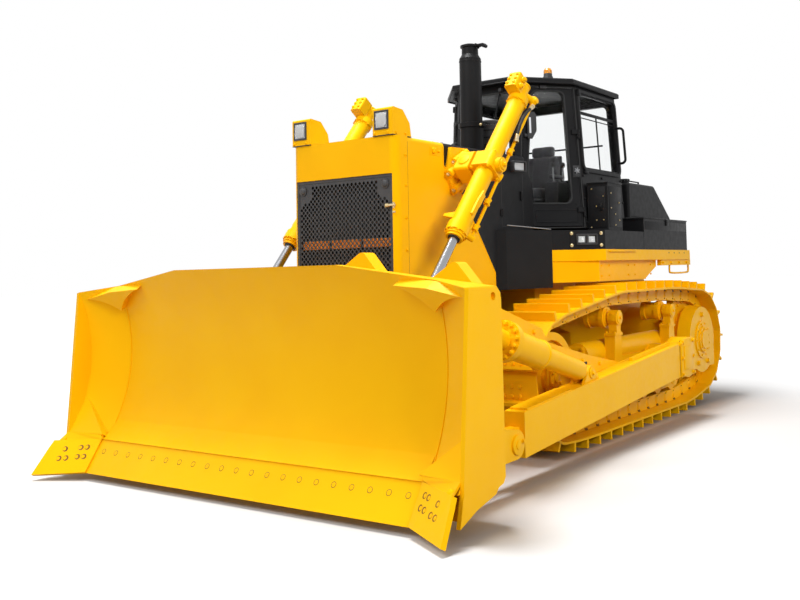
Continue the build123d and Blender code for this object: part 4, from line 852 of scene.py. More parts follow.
def build_grille():
    """Punched grille sheet with solid corners, its frame, domed bolts, core and guard bars behind."""
    low, high = box_mm("grille")
    mid_x, mid_z = (low.x + high.x) / 2, (low.z + high.z) / 2
    half_x, half_z = (high.x - low.x) / 2 - 8, (high.z - low.z) / 2 - 8
    # diamond lattice of holes; each cell is inset to leave an eight-sided hole
    wide, high_cell, cells = 44 * MM, 46 * MM, 60
    bm = bmesh.new()
    bmesh.ops.create_grid(bm, x_segments=cells, y_segments=cells, size=1)
    bmesh.ops.rotate(bm, verts=bm.verts, cent=(0, 0, 0), matrix=Matrix.Rotation(pi / 4, 3, "Z"))
    step = 2 / cells * 2**0.5
    bmesh.ops.scale(bm, verts=bm.verts, vec=(wide / step, high_cell / step, 1))
    keep_x, keep_z = (half_x - 14) * MM, (half_z - 12) * MM
    for axis, limit in (((1, 0, 0), keep_x), ((-1, 0, 0), keep_x), ((0, 1, 0), keep_z), ((0, -1, 0), keep_z)):
        bmesh.ops.bisect_plane(
            bm,
            geom=[*bm.verts, *bm.edges, *bm.faces],
            plane_co=Vector(axis) * limit,
            plane_no=axis,
            clear_outer=True,
        )
    full = wide * high_cell / 2
    corner_wide, corner_high, corner_slope = 0.135, 0.235, 0.12

    def in_corner(face):
        """Whether a cell lies in one of the solid upper corners."""
        place = face.calc_center_median()
        from_edge = keep_x - abs(place.x)
        return from_edge < corner_wide and place.y > keep_z - corner_high + corner_slope * from_edge / corner_wide

    whole = [face for face in bm.faces if face.calc_area() > 0.98 * full and not in_corner(face)]
    bmesh.ops.inset_individual(bm, faces=whole, thickness=size_mm("grille_bridge") * MM, depth=0)
    cut_corners(bm, {v for face in whole for v in face.verts}, 6.5, 1)
    limit = 0.62 * full
    holes = [f for f in bm.faces if len(f.verts) == 8 and f.calc_area() < limit]
    bmesh.ops.delete(bm, geom=holes, context="FACES")
    bmesh.ops.solidify(bm, geom=bm.faces, thickness=4 * MM)
    stand = Matrix.Translation((mid_x * MM, (low.y + 6) * MM, mid_z * MM)) @ Matrix.Rotation(pi / 2, 4, "X")
    bmesh.ops.transform(bm, matrix=stand, verts=bm.verts)
    sheet = add_piece(bm, "grille_sheet", "powder_coat")
    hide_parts("grille")
    frame_bm = bmesh.new()
    for x_from, x_to, z_from, z_to in (
        (low.x, high.x, high.z - 24, high.z),
        (low.x, high.x, low.z, low.z + 24),
        (low.x, low.x + 24, low.z + 24, high.z - 24),
        (high.x - 24, high.x, low.z + 24, high.z - 24),
    ):
        add_slab(frame_bm, (x_from, low.y, z_from), (x_to, high.y, z_to), edge=2)
    add_piece(frame_bm, "grille_frame", "powder_coat")
    bolts = bmesh.new()
    for x, z in (
        (low.x + 66, high.z - 82),
        (high.x - 84, high.z - 76),
        (low.x + 66, low.z + 82),
        (high.x - 84, low.z + 82),
    ):
        add_disc(bolts, (x, low.y + 2, z), (0, -1, 0), 42, 4, segments=32, edge=1.5)
        dome = bmesh.ops.create_uvsphere(bolts, u_segments=24, v_segments=12, radius=34 * MM)
        bmesh.ops.scale(bolts, verts=dome["verts"], vec=(1, 0.5, 1))
        bmesh.ops.translate(bolts, verts=dome["verts"], vec=Vector((x, low.y, z)) * MM)
    add_piece(bolts, "grille_domes", "powder_coat", smooth=40)
    # latch: a rod that turns in a bracket at the grille's left edge
    latch = bmesh.new()
    latch_z = high.z - 255
    add_disc(latch, (high.x - 62, low.y - 14, latch_z), (1, 0, 0), 12, 92, segments=16, edge=3)
    add_slab(latch, (high.x - 70, low.y - 20, latch_z - 14), (high.x - 34, low.y + 4, latch_z + 14), edge=3)
    add_slab(latch, (high.x + 14, low.y - 24, latch_z - 26), (high.x + 22, low.y - 4, latch_z + 22), edge=2)
    add_slab(latch, (high.x + 8, low.y - 22, latch_z - 62), (high.x + 36, low.y - 10, latch_z - 48), edge=2)
    add_piece(latch, "grille_latch", "zinc_plate")
    # radiator core with its tanks, and the fan guard's bars in front of it
    core = bmesh.new()
    add_slab(core, (low.x, high.y + 92, low.z), (high.x, high.y + 108, high.z))
    for n in range(24):
        x = low.x + 22 + n * 44
        add_slab(core, (x - 3, high.y + 70, low.z), (x + 3, high.y + 94, high.z))
    for x_from, x_to in ((low.x - 6, low.x + 8), (high.x - 8, high.x + 6)):
        add_slab(core, (x_from, high.y + 1, low.z), (x_to, high.y + 92, high.z))
    add_piece(core, "radiator_core", "cast_iron")
    bars = bmesh.new()
    for x_from, x_to in ((low.x + 30, -198), (-168, 152), (182, high.x - 36)):
        add_slab(bars, (x_from, high.y + 2, 1790), (x_to, high.y + 8, 1862), edge=2)
    add_piece(bars, "fan_guard_bars", "orange_enamel")


HEADLAMP_X, HEADLAMP_Z = 453, 2796


def build_headlamps():
    """Lens, reflector and black bezel in both headlamps, with the bolts of their housings."""
    low, high = box_mm("headlamps")
    for side_name, side in SIDES:
        middle_x = side * HEADLAMP_X - 8
        front = low.y
        bezel = bmesh.new()
        for x_from, x_to, z_from, z_to in (
            (-74, 74, 68, 82),
            (-74, 74, -72, -58),
            (-74, -57, -58, 68),
            (57, 74, -58, 68),
        ):
            add_slab(
                bezel,
                (middle_x + x_from, front - 8, HEADLAMP_Z + z_from),
                (middle_x + x_to, front + 1, HEADLAMP_Z + z_to),
                edge=3,
            )
        add_slab(bezel, (middle_x - 64, front - 1.5, HEADLAMP_Z - 62), (middle_x + 64, front, HEADLAMP_Z + 72))
        add_piece(bezel, f"headlamp_bezel_{side_name}", "moulded_abs")
        reflector = bmesh.new()
        low_corner = (middle_x - 60, front - 6, HEADLAMP_Z - 56)
        add_slab(reflector, low_corner, (middle_x + 60, front - 2, HEADLAMP_Z + 66), edge=1.5)
        add_piece(reflector, f"headlamp_reflector_{side_name}", "vacuum_metal")
        lens = bmesh.new()
        bmesh.ops.create_cube(lens, size=1)
        bmesh.ops.bevel(
            lens,
            geom=[e for e in lens.edges if abs((e.verts[0].co - e.verts[1].co).y) > 0.5],
            offset=0.3,
            offset_type="OFFSET",
            affect="EDGES",
            segments=5,
            profile=0.5,
            material=-1,
        )
        bmesh.ops.scale(lens, verts=lens.verts, vec=Vector((108, 8, 116)) * MM)
        round_edges(lens, [e for e in lens.edges if all(v.co.y < -0.0039 for v in e.verts)], 3)
        bmesh.ops.translate(lens, verts=lens.verts, vec=Vector((middle_x, front - 9, HEADLAMP_Z + 4)) * MM)
        add_piece(lens, f"headlamp_lens_{side_name}", "fluted_lens", smooth=40)
        bolts = bmesh.new()
        for x in (-72, 66):
            add_bolt(bolts, (middle_x + x, front, 2697), (0, -1, 0), 18)
        for y in (-1985, -1870):
            add_bolt(bolts, (side * high.x, y, 2697), (side, 0, 0), 18)
        add_piece(bolts, f"headlamp_bolts_{side_name}", "yellow_enamel")
        # rubber strip under the housing
        strip = bmesh.new()
        low_corner = (side * HEADLAMP_X - 104, low.y - 1, HOOD_TOP - 2)
        add_slab(strip, low_corner, (side * HEADLAMP_X + 104, high.y + 1, HOOD_TOP + 4), edge=1)
        add_piece(strip, f"headlamp_gasket_{side_name}", "nitrile_rubber")


# ---------------------------------------------------------------- lift cylinders
LIFT_PIVOT = Vector((915, -1235, 2460))
LIFT_WAY = Vector((0, -1191, -1481)).normalized()
LIFT_REAR = Vector((0, -LIFT_WAY.z, LIFT_WAY.y))


def lift_place(side, reach, rear=0.0, out=0.0):
    """Point beside a lift cylinder: below its pivot, behind its axis and outwards."""
    spot = LIFT_PIVOT + LIFT_WAY * reach + LIFT_REAR * rear + Vector((out, 0, 0))
    return Vector((side * spot.x, spot.y, spot.z))


def build_lift_fittings():
    """Hoses, clamps, ports and bolts on the lift cylinders and their yokes."""
    for side_name, side in SIDES:
        body = f"barrel_{side_name}"
        caps, bolts, crimps = bmesh.new(), bmesh.new(), bmesh.new()
        # head flange and gland with their bolts
        for spot in ring_places(lift_place(side, -762), LIFT_WAY, 84, 8, 10):
            add_bolt(bolts, spot, LIFT_WAY, 20)
        for spot in ring_places(lift_place(side, 748), LIFT_WAY, 84, 10, 10):
            add_bolt(bolts, spot, LIFT_WAY, 18, washer=False)
        # valve: caps and bolts on the head's block
        valve = lift_place(side, -900, -118)
        for x in (-34, 34):
            for reach in (-52, 0, 52):
                spot = valve + LIFT_WAY * reach + Vector((x, 0, 0)) - LIFT_REAR * 64
                add_bolt(bolts, spot, -LIFT_REAR, 22)
        for reach in (-40, 40):
            spot = valve + LIFT_WAY * reach + Vector((side * 60, 0, 0))
            add_disc(caps, spot, (side, 0, 0), 27, 24, segments=20, edge=4)
            add_bolt(bolts, spot + Vector((side * 24, 0, 0)), (side, 0, 0), 30, washer=False)
        add_disc(caps, lift_place(side, -980, 0), -LIFT_WAY, 58, 16, segments=32, edge=6)
        add_bolt(bolts, lift_place(side, -996, 0), -LIFT_WAY, 40)
        # elbow at the top of the pipe
        add_disc(caps, lift_place(side, -905, 112, 68), -LIFT_WAY, 36, 36, segments=24, edge=8)
        add_disc(caps, lift_place(side, -905, 112, 68), (side, 0, 0), 26, 46, segments=20, edge=5)
        # hose between the valve's outlet and the yoke
        line = [
            lift_place(side, -800, 96, 96),
            lift_place(side, -740, 70, 98),
            lift_place(side, -620, 48, 96),
            lift_place(side, -480, 56, 96),
            lift_place(side, -400, 84, 96),
        ]
        add_tube(f"lift_hose_{side_name}", line, size_mm("hose"), "nitrile_rubber", body)
        for spot, way in ((line[0], line[1] - line[0]), (line[-1], line[-2] - line[-1])):
            add_disc(crimps, spot - way.normalized() * 10, way, 19, 46, segments=16, edge=3)
            add_disc(crimps, spot - way.normalized() * 34, way, 23, 22, segments=6)
        # saddle clamps hold pipe to barrel
        for reach in (-250, 330, 610):
            for way in (-1, 1):
                add_bolt(bolts, lift_place(side, reach + way * 26, 108, 92), (side, 0, 0), 18)
            middle = lift_place(side, reach, 100, 74)
            add_disc(caps, middle - LIFT_WAY * 24, LIFT_WAY, 27, 48, segments=20, edge=5)
        # lug along the barrel, and the pointed stop near the gland
        lug = [(300, -14), (420, -30), (560, -34), (565, -10), (450, 20), (330, 30)]
        corners = [lift_place(side, reach, rear, 78) for reach, rear in lug]
        add_plate(caps, corners, (side, 0, 0), 22, edge=4)
        wing = [
            lift_place(side, reach, rear, out_)
            for reach, rear, out_ in ((530, -30, -60), (545, -34, -186), (572, -34, -186), (600, -30, -60))
        ]
        add_plate(caps, wing, LIFT_REAR, 24, edge=5)
        # yoke: cover caps and bolts at its corners
        for out_, rear in ((-84, -84), (84, -84), (-84, 84), (84, 84)):
            for end, way in ((-78, -1), (78, 1)):
                add_bolt(bolts, lift_place(side, end, rear, out_), LIFT_WAY * way, 26)
        add_disc(caps, lift_place(side, 0, out=154), (side, 0, 0), 46, 12, segments=24, edge=4)
        add_bolt(bolts, lift_place(side, 0, out=166), (side, 0, 0), 34)
        add_piece(caps, f"lift_caps_{side_name}", "yellow_enamel", body, smooth=35)
        add_piece(bolts, f"lift_bolts_{side_name}", "yellow_enamel", body)
        add_piece(crimps, f"lift_crimps_{side_name}", "zinc_plate", body, smooth=35)
        # bracket on the hood: bolts in its bosses, round cap on the bearing block
        heads, washers = bmesh.new(), bmesh.new()
        boss_way = Vector((0, -190, -100)).normalized()
        for y, z in ((-1306, 2508), (-1383, 2401), (-1310, 2270)):
            spot = Vector((side * 615, y, z))
            add_disc(washers, spot, boss_way, 27, 4, segments=24, edge=1)
            add_bolt(heads, spot + boss_way * 4, boss_way, 28)
        add_disc(washers, lift_place(side, 0, -100, -187), -LIFT_REAR, 52, 8, segments=32, edge=3)
        for y, z in ((-1160, 2620), (-1060, 2470), (-1200, 2270)):
            add_bolt(washers, (side * 605, y, z), (side, 0, 0), 30)
        add_piece(heads, f"bracket_bolts_{side_name}", "zinc_plate")
        add_piece(washers, f"bracket_washers_{side_name}", "yellow_enamel", smooth=35)
        # ground rod, round all the way
        rod = bmesh.new()
        add_disc(rod, lift_place(side, 330), LIFT_WAY, 37.8, 1492, segments=72)
        add_piece(rod, f"rod_chrome_{side_name}", "hard_chrome", f"rod_{side_name}", smooth=40)
        # wiper seal where the rod comes out
        wiper = bmesh.new()
        add_disc(wiper, lift_place(side, 794), LIFT_WAY, 52, 8, segments=32, edge=2)
        add_piece(wiper, f"rod_wiper_{side_name}", "nitrile_rubber", body)


# ---------------------------------------------------------------- hood, stack and pre-cleaner
def build_hood_details():
    """Joint lines, catches, hinges and bolts of the hood."""
    bolts, black, dark, seams = bmesh.new(), bmesh.new(), bmesh.new(), bmesh.new()
    for side_name, side in SIDES:
        out = (side, 0, 0)
        # joint between the mask and the side sheet, and its bolts
        add_slab(seams, (side * (HOOD_SIDE - 2), -1872, 1420), (side * (HOOD_SIDE + 0.6), -1869, 2634))
        # lifting catch near the top: plate, hook and bolt
        add_slab(bolts, (side * (HOOD_SIDE - 1), -1580, 2552), (side * (HOOD_SIDE + 5), -1440, 2626), edge=3)
        add_slab(bolts, (side * (HOOD_SIDE + 4), -1560, 2568), (side * (HOOD_SIDE + 29), -1524, 2612), edge=8)
        add_bolt(bolts, (side * (HOOD_SIDE + 5), -1470, 2589), out, 22)
        for z in (1500, 1760, 2020, 2280, 2520):
            add_bolt(bolts, (side * HOOD_SIDE, -1895, z), out, 20)
        # raised stiffener along the joint with the black sheet, following its edge
        edge = ((-640, 1405), (-640, 1560), (-1200, 2340), (-1390, 2480), (-1390, 2640))
        line = [(side * (HOOD_SIDE + 1), y - 10, z) for y, z in edge]
        add_tube(f"hood_bead_{side_name}", line, 5, "yellow_enamel", straight=True)
        # service door in the black sheet: seam, hinges and latches
        for low, high in (
            ((-520, 1990), (-514, 2560)),
            ((-150, 1990), (-144, 2560)),
            ((-520, 2560), (-144, 2566)),
            ((-520, 1984), (-144, 1990)),
        ):
            add_slab(dark, (side * (HOOD_SIDE - 0.5), *low), (side * (HOOD_SIDE + 1), *high))
        for z in (2080, 2470):
            add_slab(black, (side * HOOD_SIDE, -540, z), (side * (HOOD_SIDE + 10), -494, z + 60), edge=3)
            add_disc(black, (side * (HOOD_SIDE + 7), -517, z - 6), (0, 0, 1), 9, 72, segments=12)
        add_slab(black, (side * HOOD_SIDE, -196, 2240), (side * (HOOD_SIDE + 17), -166, 2330), edge=5)
        for y in (-480, -360, -240):
            for z in (1750, 1880):
                add_bolt(black, (side * HOOD_SIDE, y, z), out, 20)
    # joint across the top between yellow and black sheet, with a row of bolts on each side
    add_slab(dark, (-566, -1392, HOOD_TOP - 1.5), (566, -1388, HOOD_TOP + 1))
    for x in (-480, -240, 0, 240, 480):
        add_bolt(bolts, (x, -1425, HOOD_TOP), (0, 0, 1), 20)
        add_bolt(black, (x, -1355, HOOD_TOP), (0, 0, 1), 20)
    # filler lid and grip on top
    add_disc(black, (-250, -700, HOOD_TOP), (0, 0, 1), 74, 14, segments=36, edge=4)
    add_disc(black, (-250, -700, HOOD_TOP + 14), (0, 0, 1), 40, 12, segments=24, edge=4)
    add_slab(black, (-60, -1010, HOOD_TOP), (60, -990, HOOD_TOP + 36), edge=8)
    add_piece(bolts, "hood_bolts", "yellow_enamel")
    add_piece(black, "hood_hardware", "black_enamel", smooth=35)
    add_piece(dark, "hood_joints", "nitrile_rubber")
    add_piece(seams, "mask_joints", "grime_and_shade_enamel")


STACK_AT, CLEANER_AT = (250, -515), (250, -190)


def build_stack_details():
    """Clamp, weld ring and flap hinge of the exhaust stack, and the pre-cleaner's bands, vanes and bowl."""
    bm, bright = bmesh.new(), bmesh.new()
    x, y = STACK_AT
    add_disc(bm, (x, y, HOOD_TOP), (0, 0, 1), 134, 10, segments=40, edge=3)
    for spot in ring_places((x, y, HOOD_TOP + 10), (0, 0, 1), 124, 6):
        add_bolt(bm, spot, (0, 0, 1), 18)
    add_slab(bm, (x + 104, y - 30, 2938), (x + 150, y + 30, 2972), edge=6)
    add_bolt(bright, (x + 128, y - 30, 2955), (0, -1, 0), 20)
    add_disc(bm, (x, y, 3570), (0, 0, 1), 107, 10, segments=40, edge=3)
    # hinge of the rain flap and its counterweight
    add_disc(bm, (x + 92, y - 40, 3722), (0, 1, 0), 13, 80, segments=16, edge=2)
    add_disc(bm, (x + 168, y - 34, 3706), (0, 1, 0), 17, 68, segments=20, edge=4)
    for z in (2790, 2860, 2930):
        add_disc(bm, (*CLEANER_AT, z), (0, 0, 1), 142.5, 12, segments=48, edge=3)
    for spot in ring_places((*CLEANER_AT, 2986), (0, 0, 1), 134, 18):
        way = (spot - Vector((*CLEANER_AT, spot.z))).normalized()
        turn = way.to_track_quat("X", "Z").to_matrix().to_4x4()
        add_slab(bm, spot - Vector((4, 4, 2)), spot + Vector((4, 4, 16)), turn=turn)
    bowl = bmesh.new()
    add_disc(bowl, (*CLEANER_AT, 2992), (0, 0, 1), 139, 52, segments=48, top=104, edge=8)
    add_piece(bowl, "cleaner_bowl", "milky_polycarbonate", smooth=50)
    add_disc(bright, (*CLEANER_AT, 3044), (0, 0, 1), 16, 14, segments=6)
    add_piece(bm, "stack_and_cleaner_details", "black_enamel", smooth=35)
    add_piece(bright, "stack_bolts", "zinc_plate")


# ---------------------------------------------------------------- cab
def wall_matrix(low_a, low_b, high_a):
    """Matrix of a leaning wall: x along its low edge, y up it, z outwards."""
    along = (Vector(low_b) - Vector(low_a)).normalized()
    out = along.cross(Vector(high_a) - Vector(low_a)).normalized()
    turn = Matrix((along, out.cross(along), out)).transposed()
    return Matrix.Translation(Vector(low_a) * MM) @ turn.to_4x4()


CAB_Z = 1985
DOOR_WALL = wall_matrix((367, 43, CAB_Z), (850, 610, CAB_Z), (339, 113, 3465))
SIDE_WALL = wall_matrix((850, 610, CAB_Z), (850, 1520, CAB_Z), (761.5, 610, 3465))
FRONT_WALL = wall_matrix((-367, 43, CAB_Z), (367, 43, CAB_Z), (-339, 113, 3465))
DECK_WALL = wall_matrix((800, 0, 1760), (1140, 455, 1760), (800, 0, 1950))
DOOR_WINDOW = ((150, 260), (598, 260), (556, 1402), (228, 1402), (158, 656))
DOOR_EDGE = ((184, 20), (719, 20), (663, 1442), (127, 1442), (85, 474))
SIDE_WINDOW = ((50, 616), (860, 616), (860, 1407), (50, 1407))
WINDSCREEN = ((70, 366), (664, 366), (644, 1387), (90, 1387))
DOOR_OPENING = ((177, 13), (726, 13), (668, 1449), (120, 1449), (78, 470))
REAR_WINDOW = ((-730, 2580), (730, 2580), (680, 3370), (-680, 3370))
ROOF_TOP = 3513


def on_wall(wall, points):
    """Points drawn flat in millimetres, moved onto a wall."""
    return [wall @ (Vector(point) * MM) / MM for point in points]


def lay_on(bm, wall, side):
    """Moves a bmesh drawn flat in millimetres onto a wall, or onto its mirror image."""
    bmesh.ops.transform(bm, matrix=Matrix.Diagonal((side, 1, 1, 1)) @ wall, verts=bm.verts)


def add_trim(bm, wall, side, name, look, body="root", smooth=None):
    """Lays a bmesh on a wall and makes it a piece of the cab's trim."""
    lay_on(bm, wall, side)
    add_piece(bm, name, look, body, smooth)


def add_frame(bm, corners, radius, width, low, high, edge=0.0):
    """Flat ring round a rounded opening, from one level to another; a negative width grows inwards."""
    before = set(bm.faces)
    face = bm.faces.new([bm.verts.new(Vector((x, y, low)) * MM) for x, y in corners])
    if radius:
        cut_corners(bm, face.verts, radius * 0.8, 6)
    opening = [item for item in bm.faces if item not in before]
    ring = bmesh.ops.inset_region(
        bm, faces=opening, thickness=-width * MM, use_boundary=True, use_even_offset=True
    )
    keep = ring["faces"]
    inner = [item for item in bm.faces if item not in before and item not in keep]
    bmesh.ops.delete(bm, geom=inner, context="FACES")
    raised = bmesh.ops.extrude_face_region(bm, geom=keep, use_keep_orig=True)
    tops = {item for item in raised["geom"] if isinstance(item, bmesh.types.BMVert)}
    bmesh.ops.translate(bm, verts=list(tops), vec=(0, 0, (high - low) * MM))
    if edge:
        rim = {
            e for v in tops for e in v.link_edges
            if e.other_vert(v) in tops and len(e.link_faces) == 2 and e.calc_face_angle() > 0.8
        }
        round_edges(bm, rim, edge)


def build_cab_trim():
    """Seals, window frames, wipers, latches, mirrors and bolts of the cab."""
    for side_name, side in SIDES:
        door = f"door_{side_name}"
        seal = bmesh.new()
        add_frame(seal, DOOR_WINDOW, 70, 16, -2, 9, edge=3)
        add_trim(seal, DOOR_WALL, side, f"door_window_seal_{side_name}", "nitrile_rubber", door, smooth=40)
        inner = bmesh.new()
        add_frame(inner, DOOR_WINDOW, 70, 12, -52, -46)
        add_trim(inner, DOOR_WALL, side, f"door_window_trim_{side_name}", "moulded_abs", door)
        # pressed border that stiffens the door, and its lower panel
        press = bmesh.new()
        add_frame(press, DOOR_EDGE, 24, -14, -1, 4, edge=2)
        add_frame(press, ((215, 60), (668, 60), (664, 190), (200, 190)), 20, -10, -1, 4, edge=2)
        for u, v in ((205, 1380), (640, 1380), (640, 250), (110, 500)):
            add_disc(press, (u, v, 0), (0, 0, 1), 9, 4, segments=12, edge=1)
        add_trim(press, DOOR_WALL, side, f"door_border_{side_name}", "black_enamel", door, smooth=35)
        # lock: plate, barrel and star knob near the rear edge
        lock = bmesh.new()
        add_slab(lock, (628, 520, 0), (700, 640, 8), edge=3)
        add_disc(lock, (664, 585, 8), (0, 0, 1), 22, 14, segments=24, edge=3)
        add_slab(lock, (640, 528, 8), (690, 552, 26), edge=5)
        add_trim(lock, DOOR_WALL, side, f"door_lock_{side_name}", "moulded_abs", door, smooth=40)
        knob = bmesh.new()
        for n in range(3):
            turn = Matrix.Rotation(pi * n / 3 + 0.3, 4, "Z")
            add_slab(knob, (664 - 30, 585 - 6, 22), (664 + 30, 585 + 6, 32), edge=3, turn=turn)
        add_disc(knob, (664, 585, 22), (0, 0, 1), 13, 15, segments=16, edge=3)
        add_trim(knob, DOOR_WALL, side, f"door_knob_{side_name}", "anodised_aluminium", door, smooth=40)
        # mirror in a black housing on the door's front edge, with its bracket
        mirror_bm = bmesh.new()
        outline = ((150, 905), (198, 905), (246, 985), (246, 1150), (226, 1180), (150, 1180))
        add_plate(mirror_bm, [(u, v, 22) for u, v in outline], (0, 0, 1), 20, edge=6)
        add_slab(mirror_bm, (120, 1130, 0), (160, 1160, 30), edge=5)
        add_slab(mirror_bm, (120, 925, 0), (160, 955, 30), edge=5)
        add_trim(mirror_bm, DOOR_WALL, side, f"mirror_housing_{side_name}", "moulded_abs", door, smooth=40)
        glass_bm = bmesh.new()
        add_slab(glass_bm, (166, 960, 42), (186, 1120, 45), edge=1.5)
        add_trim(glass_bm, DOOR_WALL, side, f"mirror_glass_{side_name}", "mirror_glass", door)
        # gasket in the door's opening, on the shell
        gasket = bmesh.new()
        add_frame(gasket, DOOR_OPENING, 10, 12, -4, 3)
        add_trim(gasket, DOOR_WALL, side, f"door_gasket_{side_name}", "nitrile_rubber")
        # side window: heavy rounded frame, cross bar and sliding pane
        frame_bm, pane = bmesh.new(), bmesh.new()
        add_frame(frame_bm, SIDE_WINDOW, 70, 38, -3, 22, edge=6)
        add_frame(frame_bm, SIDE_WINDOW, 70, -16, -18, 8, edge=3)
        add_slab(frame_bm, (56, 1190, -20), (854, 1222, -2), edge=4)
        add_slab(frame_bm, (56, 1150, -18), (854, 1160, -8), edge=2)
        add_trim(frame_bm, SIDE_WALL, side, f"side_window_frame_{side_name}", "black_enamel", smooth=40)
        add_slab(pane, (440, 622, -19), (458, 1192, -8), edge=2)
        add_slab(pane, (66, 640, -19), (76, 1192, -8), edge=2)
        add_slab(pane, (56, 618, -19), (854, 634, -6), edge=2)
        add_trim(pane, SIDE_WALL, side, f"sliding_pane_{side_name}", "black_enamel")
        # bolts, grip feet and marker lamp on the side wall
        wall_bm = bmesh.new()
        for u, v in ((22, 540), (440, 540), (888, 540), (22, 60), (440, 60), (888, 60), (22, 300), (888, 300)):
            add_bolt(wall_bm, (u, v, 0), (0, 0, 1), 20)
        add_slab(wall_bm, (40, 560, 0), (120, 590, 26), edge=6)
        add_slab(wall_bm, (6, 1370, 0), (46, 1440, 40), edge=8)
        for z in (2720, 3110):
            add_disc(wall_bm, (870, z - CAB_Z, -6), (0, 0, 1), 30, 14, segments=24, edge=4)
        add_trim(wall_bm, SIDE_WALL, side, f"cab_side_hardware_{side_name}", "black_enamel", smooth=40)
        # wiper motor and spindle on the door's glass
        wiper = bmesh.new()
        add_slab(wiper, (300, 1424, 0), (372, 1462, 34), edge=6)
        add_disc(wiper, (336, 1440, 0), (0, 0, 1), 14, 40, segments=16, edge=3)
        add_trim(wiper, DOOR_WALL, side, f"door_wiper_motor_{side_name}", "moulded_abs", door, smooth=40)
    # windscreen seal and the pair of wipers on it
    seal = bmesh.new()
    add_frame(seal, WINDSCREEN, 70, 16, -2, 9, edge=3)
    add_trim(seal, FRONT_WALL, 1, "windscreen_seal", "nitrile_rubber", smooth=40)
    for name, pivot in (("left", 560), ("right", 240)):
        ends = on_wall(FRONT_WALL, ((pivot, 1420, 30), (pivot - 120, 880, 22)))
        add_tube(f"wiper_arm_{name}", ends, 6, "black_enamel", straight=True)
        spine = on_wall(FRONT_WALL, ((pivot - 60, 1180, 16), (pivot - 170, 640, 16)))
        add_tube(f"wiper_blade_{name}", spine, 8, "nitrile_rubber", straight=True)
        hub = bmesh.new()
        add_disc(hub, (pivot, 1420, 0), (0, 0, 1), 20, 42, segments=20, edge=4)
        add_slab(hub, (pivot - 128, 872, 8), (pivot - 112, 888, 30), edge=3)
        add_trim(hub, FRONT_WALL, 1, f"wiper_hub_{name}", "moulded_abs", smooth=40)
    # rear window seal
    rear = bmesh.new()
    add_frame(rear, REAR_WINDOW, 70, 16, -2, 9, edge=3)
    upright = Matrix.Rotation(-pi / 2, 4, "X") @ Matrix.Diagonal((1, -1, 1, 1))
    bmesh.ops.transform(rear, matrix=Matrix.Translation((0, 1.52, 0)) @ upright, verts=rear.verts)
    add_piece(rear, "rear_window_seal", "nitrile_rubber", smooth=40)
    # rain gutter round the roof; ribs, knob, vent, bolts and hatch on top
    left_edge = [(366, 22, 3462), (796, 524, 3462), (796, 1552, 3462)]
    loop = left_edge + [(-x, y, z) for x, y, z in reversed(left_edge)]
    add_tube("roof_gutter", loop, 9, "black_enamel", closed=True, straight=True)
    roof = bmesh.new()
    for x in (-420, -140, 140, 420):
        add_slab(roof, (x - 34, 620, ROOF_TOP), (x + 34, 1440, ROOF_TOP + 11), edge=5)
    add_disc(roof, (690, 640, ROOF_TOP), (0, 0, 1), 34, 20, segments=24, edge=8)
    add_disc(roof, (560, 420, ROOF_TOP), (0, 0, 1), 62, 10, segments=32, edge=3)
    for x, y in ((300, 130), (720, 600), (720, 1500), (-300, 130), (-720, 600), (-720, 1500)):
        add_bolt(roof, (x, y, ROOF_TOP + 1), (0, 0, 1), 26)
    add_slab(roof, (-300, 200, ROOF_TOP), (300, 480, ROOF_TOP + 17), edge=8)
    add_piece(roof, "roof_details", "black_enamel", smooth=40)


def build_beacon():
    """Black foot, clamp and moulded ribs of the beacon."""
    low, high = box_mm("beacon")
    x, y = (low.x + high.x) / 2, (low.y + high.y) / 2
    foot = bmesh.new()
    add_disc(foot, (x, y, low.z), (0, 0, 1), 52, 30, segments=40, edge=3)
    add_disc(foot, (x, y, low.z + 30), (0, 0, 1), 47, 6, segments=40, edge=2)
    add_disc(foot, (x, y, low.z + 35), (0, 0, 1), 44.5, 27, segments=40, edge=3)
    for spot in ring_places((x, y, low.z), (0, 0, 1), 50, 6):
        add_slab(foot, spot - Vector((4, 4, 0)), spot + Vector((4, 4, 24)), edge=2)
    add_piece(foot, "beacon_foot", "moulded_abs", smooth=35)
    ribs = bmesh.new()
    for n in range(18):
        angle = 2 * pi * n / 18
        spot = Vector((x + 41.5 * cos(angle), y + 41.5 * sin(angle), 0))
        turn = Matrix.Rotation(angle, 4, "Z")
        add_slab(ribs, spot + Vector((-2, -3, low.z + 60)), spot + Vector((2, 3, low.z + 94)), edge=1, turn=turn)
    add_piece(ribs, "beacon_ribs", "amber_acrylic")
    core = bmesh.new()
    add_disc(core, (x, y, low.z + 32), (0, 0, 1), 16, 50, segments=20, top=12, edge=3)
    add_piece(core, "beacon_lamp", "vacuum_metal", smooth=40)


# ---------------------------------------------------------------- seat and controls
CLOTH_FRAMES = 20
CLOTH_VOXEL = 12 * MM
UNFILLED = 0.93  # share of a cushion's size before it swells


